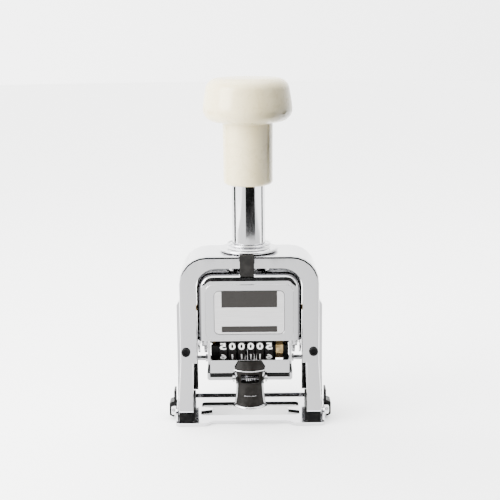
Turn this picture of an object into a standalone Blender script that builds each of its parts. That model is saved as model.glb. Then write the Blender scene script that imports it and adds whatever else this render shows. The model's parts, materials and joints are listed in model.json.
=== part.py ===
"""Self-inking numbering machine: a chrome arch frame on a slotted base plate, and a
plunger that carries six number wheels, a feed yoke and a swinging ink tray.

X points right, Y to the back and Z up. The shapes are drawn with the stem's axis at
X = Y = 0 and the base plate on Z = 0, and an empty then moves them forward until the
origin is under the middle of the whole machine. All lengths are in metres.
"""
import math

import bmesh
import bpy
from mathutils import Vector

# Fits
GAP = 0.0003
OVERRUN = 0.002
ARC_STEPS = 6
FOLD_ANGLE = math.radians(60.0)
SHARP_ANGLE = math.radians(35.0)
ROUND_STEPS = 32
PIN_STEPS = 12

# Sizes that the others follow
BASE_HALF_WIDTH = 0.0354
HANDLE_TOP = 0.1636

# Frame casing
CASING_FOOT_INSET = 0.00125
CASING_FLARE = 0.0015
CASING_FOOT_HALF_WIDTH = BASE_HALF_WIDTH - CASING_FOOT_INSET
CASING_HALF_WIDTH = CASING_FOOT_HALF_WIDTH - CASING_FLARE
CASING_TOP = 0.0820
CASING_BOTTOM = 0.0063
CASING_FRONT = -0.0150
CASING_BACK_TOP = 0.0130
CASING_BACK_FOOT = 0.0220
CASING_WALL = 0.0012
CASING_CORNER = 0.0130
CASING_EDGE = 0.0011
CASING_EDGE_STEPS = 2
LEG_JOINT_Z = 0.0310
BACK_SLOPE_TOP = 0.0620
BACK_SLOPE_FOOT = 0.0300
LEG_WIDTH = 0.0084
LEG_INNER_X = BASE_HALF_WIDTH - LEG_WIDTH
OPENING_STEP = 0.0021
OPENING_HALF_WIDTH = LEG_INNER_X - OPENING_STEP
OPENING_HEAD = 0.0056
OPENING_TOP = CASING_TOP - OPENING_HEAD
OPENING_CORNER = 0.0095
OPENING_STEP_Z = 0.0309
BACK_OPENING_STEP = 0.0010
BACK_OPENING_HALF_WIDTH = LEG_INNER_X - BACK_OPENING_STEP

# Guide ribs pressed out of the casing's sides
RIB_Y = 0.0090
RIB_RISE = 0.0026
RIB_OUTER_X = CASING_HALF_WIDTH + RIB_RISE
RIB_HALF_DEPTH = 0.0034
RIB_TOP = 0.0580
RIB_SLANT = 0.0040
RIB_BOTTOM = 0.0080
RIB_WALL = 0.0012
GROOVE_HALF_DEPTH = 0.00235
GROOVE_TOP = 0.0545

# Base plate
BASE_SHEET = 0.0015
BASE_FRONT = -0.0155
BASE_MIDDLE_FRONT = -0.0120
BASE_BACK = 0.0262
BASE_CORNER = 0.0020
WINDOW_TO_LEG = 0.0030
WINDOW_HALF_WIDTH = LEG_INNER_X - WINDOW_TO_LEG
BASE_SWEEP_INSET = 0.0028
BASE_SWEEP_WIDTH = 0.0034
BASE_SWEEP_OUTER_X = WINDOW_HALF_WIDTH - BASE_SWEEP_INSET
BASE_SWEEP_INNER_X = BASE_SWEEP_OUTER_X - BASE_SWEEP_WIDTH
BASE_SWEEP_RADIUS = 0.0020
BASE_LIP_HEIGHT = 0.0026
CHEEK_THICKNESS = 0.0009
CHEEK_TOP = 0.0075
CHEEK_BACK = 0.0200
WINDOW_FRONT = -0.0044
WINDOW_BACK = 0.0151
WINDOW_CORNER = 0.0022
POINTER_LENGTH = 0.0055
POINTER_TIP_X = WINDOW_HALF_WIDTH - POINTER_LENGTH
POINTER_ROOT_HALF_DEPTH = 0.0032
POINTER_TIP_HALF_DEPTH = 0.0012
POINTER_TIP_RADIUS = 0.0009

# Rubber feet under the legs
FOOT_WIDTH = 0.0062
FOOT_INNER_X = LEG_INNER_X + GAP
FOOT_OUTER_X = FOOT_INNER_X + FOOT_WIDTH
FOOT_FRONT = -0.0148
FOOT_BACK = 0.0212
FOOT_EAR_WIDTH = 0.0008
FOOT_EAR_DEPTH = 0.0030
FOOT_EAR_TOP = 0.0082
SPRING_SEAT_TOP = 0.0078

# Side latches and their pins
LATCH_Y = -0.0020
LATCH_HALF_DEPTH = 0.0037
LATCH_PIN_REACH = 0.0014
LATCH_PIN_X = BASE_HALF_WIDTH + LATCH_PIN_REACH
LATCH_PIN_Z = 0.0052
LATCH_PIN_RADIUS = 0.00050
LATCH_BORE_RADIUS = 0.00080
LATCH_HUB_RADIUS = 0.00110
LATCH_TIP_TOP = 0.0144
LATCH_TIP_THICKNESS = 0.0009
LATCH_REACH = 0.0035
LATCH_OUTER_X = BASE_HALF_WIDTH + LATCH_REACH
LATCH_THUMB_TOP = 0.0092
LATCH_THUMB_BOTTOM = 0.0012
LATCH_CORNER = 0.0009
EAR_THICKNESS = 0.0009
EAR_REACH = 0.0025
EAR_OUTER_X = BASE_HALF_WIDTH + EAR_REACH
EAR_BOTTOM = 0.0028

# Stem, handle and collar
STEM_RADIUS = 0.00780
STEM_NECK_RADIUS = 0.0040
STEM_NECK_LENGTH = 0.0090
STEM_CHAMFER = 0.0008
STEM_IN_HANDLE = 0.0223
HANDLE_LENGTH = 0.0500
HANDLE_BOTTOM = HANDLE_TOP - HANDLE_LENGTH
STEM_TOP = HANDLE_BOTTOM + STEM_IN_HANDLE
SLEEVE_RADIUS_TOP = 0.01165
SLEEVE_RADIUS_BOTTOM = 0.0115
SLEEVE_EDGE = 0.0020
HEAD_HEIGHT = 0.0207
HEAD_BOTTOM = HANDLE_TOP - HEAD_HEIGHT
HEAD_RADIUS = 0.0208
HEAD_WIDEST_DROP = 0.0146
HEAD_WIDEST_Z = HANDLE_TOP - HEAD_WIDEST_DROP
HEAD_SHOULDER_RADIUS = 0.0060
HEAD_TOP_FLAT_RADIUS = 0.0110
HEAD_TOP_RADIUS = 0.0195
HANDLE_DOME = 0.0006
COLLAR_FLANGE_RADIUS = 0.0139
COLLAR_FLANGE_HEIGHT = 0.0014
COLLAR_BARREL_RADIUS = 0.0096
COLLAR_BOSS_RADIUS = 0.0104
COLLAR_BOSS_HEIGHT = 0.0022
COLLAR_DROP = 0.0069
COLLAR_BOTTOM = CASING_TOP - COLLAR_DROP
RING_RADIUS = 0.0108
RING_HEIGHT = 0.0019
NUT_RADIUS = 0.0068
NUT_HEIGHT = 0.0042
NUT_SIDES = 6

# Stop that clamps the stem
STOP_CENTRE_X = -0.00095
STOP_HALF_WIDTH = 0.00335
STOP_FRONT = -0.0164
STOP_BACK = -0.0124
STOP_RIDGE_DEPTH = 0.0009
STOP_RIDGE_RISE = 0.0010
STOP_BODY_DROP = 0.0002
STOP_RIDGE_TOP = CASING_TOP + STOP_RIDGE_RISE
STOP_BODY_TOP = CASING_TOP - STOP_BODY_DROP
STOP_LIP_SHEET = 0.0012
STOP_LIP_HEIGHT = 0.0015
STOP_TONGUE_HALF_WIDTH = 0.00245
STOP_TONGUE_SHEET = 0.0014
STOP_TONGUE_DROP = 0.0045
STOP_TONGUE_TOP = CASING_TOP - STOP_TONGUE_DROP
STOP_TONGUE_BOTTOM = STOP_TONGUE_TOP - STOP_TONGUE_SHEET
STOP_TRAVEL = 0.0012
STOP_EDGE = 0.0004

# Carriage cover and nameplate
COVER_HALF_WIDTH = OPENING_HALF_WIDTH - GAP
COVER_HEADROOM = 0.0024
COVER_TOP = OPENING_TOP - COVER_HEADROOM
COVER_HEIGHT = 0.0327
COVER_BOTTOM = COVER_TOP - COVER_HEIGHT
COVER_FRONT = -0.0145
COVER_BACK = 0.0196
COVER_WALL = 0.0010
COVER_CORNER = 0.0075
COVER_EDGE = 0.0039
COVER_EDGE_STEPS = 5
COVER_INNER_EDGE = 0.0030
PANEL_MARGIN = 0.0041
PANEL_HALF_WIDTH = COVER_HALF_WIDTH - PANEL_MARGIN
PANEL_HEAD_MARGIN = 0.0055
PANEL_TOP = COVER_TOP - PANEL_HEAD_MARGIN
PANEL_FOOT_MARGIN = 0.0009
PANEL_BOTTOM = COVER_BOTTOM + PANEL_FOOT_MARGIN
PANEL_RISE = 0.0006
PANEL_CORNER = 0.0035
LABEL_SIDE_MARGIN = 0.0043
LABEL_HALF_WIDTH = PANEL_HALF_WIDTH - LABEL_SIDE_MARGIN
LABEL_FOOT_MARGIN = 0.0028
LABEL_HEAD_MARGIN = 0.0031
LABEL_BOTTOM = PANEL_BOTTOM + LABEL_FOOT_MARGIN
LABEL_TOP = PANEL_TOP - LABEL_HEAD_MARGIN
LABEL_CORNER = 0.0021
LABEL_THICKNESS = 0.0004
BACK_PLATE_DROP = 0.0033
BACK_PLATE_BOTTOM = COVER_BOTTOM - BACK_PLATE_DROP
BACK_PLATE_SHEET = 0.0008
STEM_NECK_BOTTOM = COVER_TOP - STEM_NECK_LENGTH
STOP_BOTTOM = COVER_TOP + GAP
STOP_LIP_BOTTOM = STOP_BOTTOM - STOP_LIP_HEIGHT

# Carriage bracket, which hangs on the stem
TRAVEL = 0.0250
AXLE_Y = 0.0050
AXLE_Z = 0.0365
AXLE_RADIUS = 0.0015
SWING_Z = 0.0460
BRACKET_INSET = 0.0041
BRACKET_INNER_X = COVER_HALF_WIDTH - BRACKET_INSET
BRACKET_SHEET = 0.0012
BRACKET_FRONT = -0.0100
BRACKET_BACK = 0.0160
PLATE_END_RADIUS = 0.0150
AXLE_NUT_RADIUS = 0.0030
AXLE_NUT_LENGTH = 0.0011

# Widths of the carriage's inner pieces, from the bracket inwards
ARM_CLEARANCE = 0.0015
ARM_INNER_X = BRACKET_INNER_X - ARM_CLEARANCE
YOKE_CLEARANCE = 0.0024
YOKE_INNER_X = ARM_INNER_X - YOKE_CLEARANCE

# Number wheels and the repeat wheel beside them, as shares of the space in the yoke
WHEEL_COUNT = 6
WHEEL_PITCH_SHARE = 0.2651
WHEEL_FIRST_SHARE = 0.7650
REPEAT_WHEEL_SHARE = 0.8600
WHEEL_WIDTH_SHARE = 0.1928
REPEAT_WIDTH_SHARE = 0.2048
RATCHET_WIDTH_SHARE = 0.0422
DETENT_WIDTH_SHARE = 0.1687
WHEEL_PITCH = YOKE_INNER_X * WHEEL_PITCH_SHARE
WHEEL_FIRST_X = -YOKE_INNER_X * WHEEL_FIRST_SHARE
WHEEL_RADIUS = 0.0112
WHEEL_ROOT_RADIUS = 0.0099
WHEEL_WIDTH = YOKE_INNER_X * WHEEL_WIDTH_SHARE
WHEEL_FACES = 12
PAD_HALF_WIDTH = 0.0019
RATCHET_RADIUS = 0.0070
RATCHET_ROOT_RADIUS = 0.0057
RATCHET_WIDTH = YOKE_INNER_X * RATCHET_WIDTH_SHARE
REPEAT_WHEEL_X = YOKE_INNER_X * REPEAT_WHEEL_SHARE
REPEAT_WHEEL_WIDTH = YOKE_INNER_X * REPEAT_WIDTH_SHARE
REPEAT_WHEEL_RADIUS = 0.0090
REPEAT_WHEEL_ROOT = 0.0078
REPEAT_TEETH = 12

# Feed yoke and pawl
YOKE_SHEET = 0.0010
YOKE_HUB_RADIUS = 0.0034
YOKE_ROD_DISTANCE = 0.0129
YOKE_ROD_ANGLE = math.radians(70.0)
YOKE_ROD_RADIUS = 0.0009
YOKE_ARM_HALF_WIDTH = 0.0020
PAWL_HUB_RADIUS = 0.0017
PAWL_FINGER_THICKNESS = 0.0005
PAWL_FINGER_TIP_RADIUS = 0.0075
PAWL_FINGER_ROOT_HALF_WIDTH = 0.0014

# Wheel detents
DETENT_BAR_Y = -0.0030
DETENT_BAR_Z = 0.0520
DETENT_BAR_RADIUS = 0.0012
DETENT_SHEET = 0.0004
DETENT_WIDTH = YOKE_INNER_X * DETENT_WIDTH_SHARE
DETENT_STRIP_HEIGHT = 0.0030
DETENT_TIP_Z = 0.0456
DETENT_LEAF_Y = -0.0050

# Guide shoes and return springs in the legs
SHOE_INNER_DEPTH = 0.0031
SHOE_INNER_X = CASING_HALF_WIDTH - SHOE_INNER_DEPTH
SHOE_HALF_DEPTH = 0.0020
SHOE_BOTTOM = 0.0495
SHOE_TOP = 0.0541
SHOE_PIN_RADIUS = 0.0014
SPRING_DEPTH = 0.00125
SPRING_X = CASING_HALF_WIDTH - SPRING_DEPTH
SPRING_MEAN_RADIUS = 0.00165
SPRING_WIRE_RADIUS = 0.00035
SPRING_CURLS = 12
SPRING_POINTS_PER_CURL = 8

# Ink tray with its arms, pad and followers
ARM_SHEET = 0.0012
ARM_BOSS_RADIUS = 0.0032
ARM_STEPS = 8
TRAY_BOTTOM = 0.0212
TRAY_FLOOR = 0.0015
TRAY_FRONT = -0.0106
TRAY_BACK = 0.0095
TRAY_CORNER = 0.0012
ARM_FRONT_Y = -0.0012
ARM_BACK_Y = 0.0030
ARM_NECK_TOP = 0.0400
ARM_NECK_BOTTOM = 0.0330
ARM_FOOT_TOP = 0.0262
PIVOT_RADIUS = 0.0015
PIVOT_HEAD_RADIUS = 0.0023
PIVOT_HEAD_THICKNESS = 0.0006
FOLLOWER_Y = 0.0040
FOLLOWER_Z = 0.0280
FOLLOWER_RADIUS = 0.0012
FOLLOWER_FLANGE_RADIUS = 0.0019
FOLLOWER_FLANGE_THICKNESS = 0.0008
CASE_CLEARANCE = 0.0004
CASE_HALF_WIDTH = ARM_INNER_X - CASE_CLEARANCE
CASE_HEIGHT = 0.0013
CASE_WALL = 0.0008
CASE_FLOOR = 0.0004
CASE_BACK = 0.0090
PAD_TOP = 0.0249
KEEPER_CLEARANCE = 0.00015
KEEPER_HALF_WIDTH = ARM_INNER_X - KEEPER_CLEARANCE
KEEPER_TOP = 0.0309
KEEPER_SHEET = 0.0008
KEEPER_CORNER = 0.0008

# Cam plates in the legs, which swing the tray as the carriage goes down
SWING_ANGLE = math.radians(52.0)
CAM_CLEARANCE = 0.0004
CAM_INNER_X = LEG_INNER_X + CAM_CLEARANCE
CAM_SHEET = 0.0012
CAM_FRONT = -0.0129
CAM_BACK = 0.0069
CAM_TOP = 0.0410
CAM_BOTTOM = 0.0076
CAM_HEEL_Z = 0.0250
CAM_HEEL_Y = -0.0055
CAM_CORNER = 0.0020
CAM_PATH_STEPS = 12
CAM_SCREW_DEPTH = 0.0027
CAM_SCREW_X = CASING_HALF_WIDTH - CAM_SCREW_DEPTH
CAM_SCREW_Z = 0.0364
CAM_TAB_HALF_HEIGHT = 0.0034
SCREW_HEAD_RADIUS = 0.0022
SCREW_HEAD_HEIGHT = 0.0010
SCREW_RADIUS = 0.0008
SCREW_LENGTH = 0.0042
SOCKET_RADIUS = 0.0011
SOCKET_DEPTH = 0.0006

# Catch lever of the ink tray
CATCH_Y = -0.0126
CATCH_Z = 0.0227
CATCH_PIN_RADIUS = 0.0007
LUG_INNER_X = 0.0072
LUG_SHEET = 0.0009
LUG_RADIUS = 0.0016
CATCH_FLANGE_OUTER_X = 0.0066
CATCH_SHEET = 0.0008
CATCH_FLANGE_REACH = 0.0030
CATCH_WINDOW_HALF_WIDTH = 0.0042
CATCH_WINDOW_BOTTOM = 0.0212
CATCH_WINDOW_TOP = 0.0254
CATCH_ACROSS_STEPS = 8
CATCH_HALF_WIDTH = 0.0075
CATCH_TOP = 0.0310
CATCH_BOTTOM = 0.0096
CATCH_TOP_Y = -0.0136
CATCH_LEAN = 0.0050
CATCH_SAGITTA = 0.0047
# One row for each level: height, half-width, lean forward and bulge, each as a share.
CATCH_LEVEL_SHARES = (
    (1.00, 0.69, 0.00, 0.17),
    (0.81, 0.98, 0.42, 0.47),
    (0.70, 0.90, 0.54, 0.55),
    (0.49, 0.84, 0.66, 0.64),
    (0.27, 0.88, 0.74, 0.72),
    (0.09, 0.97, 0.84, 0.89),
    (0.00, 1.00, 1.00, 1.00),
)
COIL_MEAN_RADIUS = 0.0012
COIL_WIRE_RADIUS = 0.00025
COIL_CURLS = 5
COIL_POINTS_PER_CURL = 10
COIL_PITCH = 0.00095


def shiny(name, colour, metallic, roughness):
    """A Principled material."""
    material = bpy.data.materials.new(name)
    material.use_nodes = True
    shader = material.node_tree.nodes["Principled BSDF"]
    shader.inputs["Base Color"].default_value = (*colour, 1.0)
    shader.inputs["Metallic"].default_value = metallic
    shader.inputs["Roughness"].default_value = roughness
    material.diffuse_color = (*colour, 1.0)
    return material


def add_object(name, mesh, material):
    """Put a mesh into the scene under a name and shade its round sides smooth."""
    mesh.shade_smooth()
    mesh.set_sharp_from_angle(angle=SHARP_ANGLE)
    thing = bpy.data.objects.new(name, mesh)
    if material:
        mesh.materials.append(material)
    bpy.context.collection.objects.link(thing)
    return thing


def finish_mesh(name, shape):
    """Turn a bmesh into a mesh with its faces pointing out."""
    bmesh.ops.recalc_face_normals(shape, faces=shape.faces)
    mesh = bpy.data.meshes.new(name)
    shape.to_mesh(mesh)
    shape.free()
    return mesh


def rounded(corners, steps=ARC_STEPS):
    """Outline through corners (u, v, radius), each corner rounded by its radius."""
    outline = []
    for index, (u, v, radius) in enumerate(corners):
        corner = Vector((u, v))
        if radius == 0:
            outline.append(corner)
            continue
        before = Vector(corners[index - 1][:2])
        after = Vector(corners[(index + 1) % len(corners)][:2])
        back = (before - corner).normalized()
        ahead = (after - corner).normalized()
        half_angle = back.angle(ahead) / 2
        reach = radius / math.tan(half_angle)
        middle = corner + (back + ahead).normalized() * radius / math.sin(half_angle)
        first = corner + back * reach - middle
        last = corner + ahead * reach - middle
        turn = first.angle_signed(last)
        for step in range(steps + 1):
            angle = -turn * step / steps
            outline.append(middle + Vector((
                first.x * math.cos(angle) - first.y * math.sin(angle),
                first.x * math.sin(angle) + first.y * math.cos(angle))))
    return outline


def rectangle(left, right, bottom, top, radius=0):
    """Corners of a rectangle with one radius all round."""
    return rounded([(left, bottom, radius), (right, bottom, radius),
                    (right, top, radius), (left, top, radius)])


def circle(u, v, radius, steps=PIN_STEPS):
    """Outline of a circle."""
    return [Vector((u + radius * math.cos(math.tau * step / steps),
                    v + radius * math.sin(math.tau * step / steps)))
            for step in range(steps)]


def arc(u, v, radius, start, end, steps=ARC_STEPS):
    """Points of an arc about (u, v), angles counted from the first axis."""
    return [Vector((u + radius * math.cos(start + (end - start) * step / steps),
                    v + radius * math.sin(start + (end - start) * step / steps)))
            for step in range(steps + 1)]


def to_space(plane, u, v, depth):
    """A point of a drawing plane in space."""
    if plane == "XY":
        return (u, v, depth)
    if plane == "XZ":
        return (u, depth, v)
    return (depth, u, v)


def prism(name, plane, outline, near, far, material=None):
    """An outline in a plane, extruded from near to far across it."""
    shape = bmesh.new()
    rings = [[shape.verts.new(to_space(plane, point[0], point[1], depth))
              for point in outline] for depth in (near, far)]
    shape.faces.new(rings[0])
    shape.faces.new(rings[1])
    for index in range(len(outline)):
        follower = (index + 1) % len(outline)
        shape.faces.new((rings[0][index], rings[0][follower],
                         rings[1][follower], rings[1][index]))
    return add_object(name, finish_mesh(name, shape), material)


def turned(name, profile, material=None, centre=(0, 0), steps=ROUND_STEPS, closed=False):
    """A profile of (radius, z) turned about a vertical line through centre."""
    shape = bmesh.new()
    rings = []
    for radius, height in profile:
        rings.append([shape.verts.new((
            centre[0] + radius * math.cos(math.tau * step / steps),
            centre[1] + radius * math.sin(math.tau * step / steps), height))
            for step in range(steps)])
    pairs = list(zip(rings, rings[1:]))
    if closed:
        pairs.append((rings[-1], rings[0]))
    else:
        shape.faces.new(rings[0])
        shape.faces.new(rings[-1])
    for low, high in pairs:
        for step in range(steps):
            ahead = (step + 1) % steps
            shape.faces.new((low[step], low[ahead], high[ahead], high[step]))
    return add_object(name, finish_mesh(name, shape), material)


def cross_pin(name, y, z, sections, material=None, steps=PIN_STEPS):
    """A stepped round pin along X; sections are (x, radius) pairs from end to end."""
    shape = bmesh.new()
    rings = [[shape.verts.new((x, y + radius * math.cos(math.tau * step / steps),
                               z + radius * math.sin(math.tau * step / steps)))
              for step in range(steps)] for x, radius in sections]
    shape.faces.new(rings[0])
    shape.faces.new(rings[-1])
    for low, high in zip(rings, rings[1:]):
        for step in range(steps):
            ahead = (step + 1) % steps
            shape.faces.new((low[step], low[ahead], high[ahead], high[step]))
    return add_object(name, finish_mesh(name, shape), material)


def helper(thing):
    """Keep a cutter or an added shape out of the finished part."""
    thing.hide_render = True
    thing.display_type = "WIRE"
    return thing


def combine(thing, other, operation):
    """Cut other from a thing, add it or keep what both share."""
    modifier = thing.modifiers.new(other.name, "BOOLEAN")
    modifier.operation = operation
    modifier.solver = "EXACT"
    modifier.object = helper(other)


def cut(thing, other):
    combine(thing, other, "DIFFERENCE")


def add(thing, other):
    combine(thing, other, "UNION")


def keep_shared(thing, other):
    combine(thing, other, "INTERSECT")


def set_origin(thing, y, z, x=0):
    """Move an object's origin to a joint axis and leave its shape where it is."""
    point = Vector((x, y, z))
    for vertex in thing.data.vertices:
        vertex.co -= point
    thing.location = point


def casing_outline(inset):
    """Front view of the arch, drawn in by inset."""
    half = CASING_HALF_WIDTH - inset
    foot = CASING_FOOT_HALF_WIDTH - inset
    top = CASING_TOP - inset
    bottom = CASING_BOTTOM - (OVERRUN if inset else 0)
    corner = CASING_CORNER - inset
    return rounded([(-foot, bottom, 0), (foot, bottom, 0), (half, LEG_JOINT_Z, 0),
                    (half, top, corner), (-half, top, corner), (-half, LEG_JOINT_Z, 0)])


def casing_side(inset):
    """Side view of the arch, which is deeper at the back of its feet."""
    bottom = CASING_BOTTOM - OVERRUN
    return [(CASING_FRONT + inset, bottom), (CASING_BACK_FOOT - inset, bottom),
            (CASING_BACK_FOOT - inset, BACK_SLOPE_FOOT),
            (CASING_BACK_TOP - inset, BACK_SLOPE_TOP),
            (CASING_BACK_TOP - inset, CASING_TOP + OVERRUN),
            (CASING_FRONT + inset, CASING_TOP + OVERRUN)]


def make_casing(material):
    """The chrome arch: a pressed shell, open at the front, at the back and below."""
    casing = prism("frame_casing", "XZ", casing_outline(0), CASING_FRONT,
                   CASING_BACK_FOOT, material)
    bevel = casing.modifiers.new("front and back edges", "BEVEL")
    bevel.width = CASING_EDGE
    bevel.segments = CASING_EDGE_STEPS
    bevel.limit_method = "ANGLE"
    bevel.angle_limit = FOLD_ANGLE
    reach = CASING_FOOT_HALF_WIDTH + OVERRUN
    keep_shared(casing, prism("casing side view", "YZ", casing_side(0), -reach, reach))
    for side in (-1, 1):
        rib = [(side * (CASING_HALF_WIDTH - CASING_WALL), RIB_BOTTOM),
               (side * RIB_OUTER_X, RIB_BOTTOM),
               (side * RIB_OUTER_X, RIB_TOP - RIB_SLANT),
               (side * CASING_HALF_WIDTH, RIB_TOP),
               (side * (CASING_HALF_WIDTH - CASING_WALL), RIB_TOP)]
        add(casing, prism(f"rib {side}", "XZ", rib, RIB_Y - RIB_HALF_DEPTH,
                          RIB_Y + RIB_HALF_DEPTH))
    cavity = prism("casing cavity", "XZ", casing_outline(CASING_WALL),
                   CASING_FRONT + CASING_WALL, CASING_BACK_FOOT - CASING_WALL)
    keep_shared(cavity, prism("cavity side view", "YZ", casing_side(CASING_WALL),
                              -reach, reach))
    cut(casing, cavity)
    for side in (-1, 1):
        groove = prism(f"groove {side}", "XZ", rectangle(
            *sorted((side * (CASING_HALF_WIDTH - CASING_WALL - OVERRUN),
                     side * (RIB_OUTER_X - RIB_WALL))),
            CASING_BOTTOM - OVERRUN, GROOVE_TOP),
            RIB_Y - GROOVE_HALF_DEPTH, RIB_Y + GROOVE_HALF_DEPTH)
        cut(casing, groove)
    front = rounded([
        (-LEG_INNER_X, CASING_BOTTOM - OVERRUN, 0), (LEG_INNER_X, CASING_BOTTOM - OVERRUN, 0),
        (LEG_INNER_X, OPENING_STEP_Z, 0), (OPENING_HALF_WIDTH, OPENING_STEP_Z, 0),
        (OPENING_HALF_WIDTH, OPENING_TOP, OPENING_CORNER),
        (-OPENING_HALF_WIDTH, OPENING_TOP, OPENING_CORNER),
        (-OPENING_HALF_WIDTH, OPENING_STEP_Z, 0), (-LEG_INNER_X, OPENING_STEP_Z, 0)])
    cut(casing, prism("front opening", "XZ", front, CASING_FRONT - OVERRUN,
                      CASING_FRONT + CASING_WALL + OVERRUN))
    back = rounded([
        (-BACK_OPENING_HALF_WIDTH, CASING_BOTTOM - OVERRUN, 0),
        (BACK_OPENING_HALF_WIDTH, CASING_BOTTOM - OVERRUN, 0),
        (BACK_OPENING_HALF_WIDTH, OPENING_TOP, OPENING_CORNER),
        (-BACK_OPENING_HALF_WIDTH, OPENING_TOP, OPENING_CORNER)])
    cut(casing, prism("back opening", "XZ", back, 0, CASING_BACK_FOOT + OVERRUN))
    cut(casing, turned("collar hole", [
        (COLLAR_BARREL_RADIUS + GAP, CASING_TOP - CASING_WALL - OVERRUN),
        (COLLAR_BARREL_RADIUS + GAP, CASING_TOP + OVERRUN)]))
    notch_half = STOP_HALF_WIDTH + GAP
    cut(casing, prism("stop notch", "XY", rectangle(
        STOP_CENTRE_X - notch_half, STOP_CENTRE_X + notch_half,
        CASING_FRONT - OVERRUN, -COLLAR_BARREL_RADIUS),
        OPENING_TOP - OVERRUN, CASING_TOP + OVERRUN))
    for side in (-1, 1):
        cut(casing, screw_hole(side, CASING_FRONT - OVERRUN,
                               CASING_FRONT + CASING_WALL + OVERRUN))
    return casing


def screw_hole(side, near, far):
    """Clearance hole for a cam screw."""
    return prism(f"screw hole {side} {near:.4f}", "XZ",
                 circle(side * CAM_SCREW_X, CAM_SCREW_Z, SCREW_RADIUS + GAP), near, far)


def make_base(material):
    """The slotted base plate with its cheeks, back lip, pointers and latch ears."""
    plan = [(-BASE_HALF_WIDTH, BASE_BACK, BASE_CORNER),
            (-BASE_HALF_WIDTH, BASE_FRONT, BASE_CORNER),
            (-BASE_SWEEP_OUTER_X, BASE_FRONT, BASE_SWEEP_RADIUS),
            (-BASE_SWEEP_INNER_X, BASE_MIDDLE_FRONT, BASE_SWEEP_RADIUS),
            (BASE_SWEEP_INNER_X, BASE_MIDDLE_FRONT, BASE_SWEEP_RADIUS),
            (BASE_SWEEP_OUTER_X, BASE_FRONT, BASE_SWEEP_RADIUS),
            (BASE_HALF_WIDTH, BASE_FRONT, BASE_CORNER),
            (BASE_HALF_WIDTH, BASE_BACK, BASE_CORNER)]
    base = prism("base_plate", "XY", rounded(plan), 0, CHEEK_TOP, material)
    inner = BASE_HALF_WIDTH - CHEEK_THICKNESS
    cut(base, prism("base pocket", "XY", rectangle(
        -inner, inner, BASE_FRONT - OVERRUN, BASE_BACK - CHEEK_THICKNESS),
        BASE_SHEET, CHEEK_TOP + OVERRUN))
    reach = BASE_HALF_WIDTH + OVERRUN
    cheek_front = BASE_FRONT + BASE_CORNER
    keep_shared(base, prism("base side view", "YZ", rounded([
        (BASE_FRONT - OVERRUN, -OVERRUN, 0), (BASE_BACK + OVERRUN, -OVERRUN, 0),
        (BASE_BACK + OVERRUN, BASE_LIP_HEIGHT, 0), (CHEEK_BACK, BASE_LIP_HEIGHT, 0),
        (CHEEK_BACK, CHEEK_TOP, BASE_CORNER), (cheek_front, CHEEK_TOP, BASE_CORNER),
        (cheek_front, BASE_SHEET, 0), (BASE_FRONT - OVERRUN, BASE_SHEET, 0)]),
        -reach, reach))
    window = []
    for side in (-1, 1):
        edge = side * WINDOW_HALF_WIDTH
        tip = side * POINTER_TIP_X
        run = [(edge, WINDOW_BACK, WINDOW_CORNER), (edge, AXLE_Y + POINTER_ROOT_HALF_DEPTH, 0),
               (tip, AXLE_Y + POINTER_TIP_HALF_DEPTH, POINTER_TIP_RADIUS),
               (tip, AXLE_Y - POINTER_TIP_HALF_DEPTH, POINTER_TIP_RADIUS),
               (edge, AXLE_Y - POINTER_ROOT_HALF_DEPTH, 0),
               (edge, WINDOW_FRONT, WINDOW_CORNER)]
        window += run if side == -1 else run[::-1]
    cut(base, prism("window", "XY", rounded(window), -OVERRUN, BASE_SHEET + OVERRUN))
    for side in (-1, 1):
        for end in (-1, 1):
            ear_y = LATCH_Y + end * (LATCH_HALF_DEPTH + GAP + EAR_THICKNESS / 2)
            ear = rounded([
                (side * (BASE_HALF_WIDTH - CHEEK_THICKNESS / 2), EAR_BOTTOM, 0),
                (side * EAR_OUTER_X, EAR_BOTTOM, LATCH_CORNER),
                (side * EAR_OUTER_X, CHEEK_TOP - GAP, LATCH_CORNER),
                (side * (BASE_HALF_WIDTH - CHEEK_THICKNESS / 2), CHEEK_TOP - GAP, 0)])
            add(base, prism(f"ear {side} {end}", "XZ", ear, ear_y - EAR_THICKNESS / 2,
                            ear_y + EAR_THICKNESS / 2))
        depth = LATCH_HALF_DEPTH + EAR_THICKNESS + OVERRUN
        cut(base, prism(f"ear holes {side}", "XZ", circle(
            side * LATCH_PIN_X, LATCH_PIN_Z, LATCH_BORE_RADIUS),
            LATCH_Y - depth, LATCH_Y + depth))
    return base


def make_foot(side, name, material):
    """Rubber block between a leg and the base plate, with an ear and a spring seat."""
    bottom = BASE_SHEET + GAP
    top = CASING_BOTTOM - GAP
    edges = sorted((side * FOOT_INNER_X, side * FOOT_OUTER_X))
    foot = prism(name, "XY", rectangle(*edges, FOOT_FRONT, FOOT_BACK), bottom, top, material)
    ear_inner = LEG_INNER_X - GAP - FOOT_EAR_WIDTH
    root = FOOT_INNER_X + FOOT_EAR_DEPTH
    ear = [(side * ear_inner, bottom + GAP), (side * root, bottom + GAP),
           (side * root, top - GAP), (side * (LEG_INNER_X - GAP), top - GAP),
           (side * (LEG_INNER_X - GAP), FOOT_EAR_TOP), (side * ear_inner, FOOT_EAR_TOP)]
    add(foot, prism(f"{name} ear", "XZ", ear, FOOT_FRONT + GAP, FOOT_FRONT + FOOT_EAR_DEPTH))
    add(foot, turned(f"{name} seat", [
        (SPRING_MEAN_RADIUS + SPRING_WIRE_RADIUS, bottom + GAP),
        (SPRING_MEAN_RADIUS + SPRING_WIRE_RADIUS, SPRING_SEAT_TOP)],
        centre=(side * SPRING_X, RIB_Y), steps=PIN_STEPS))
    return foot


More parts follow.
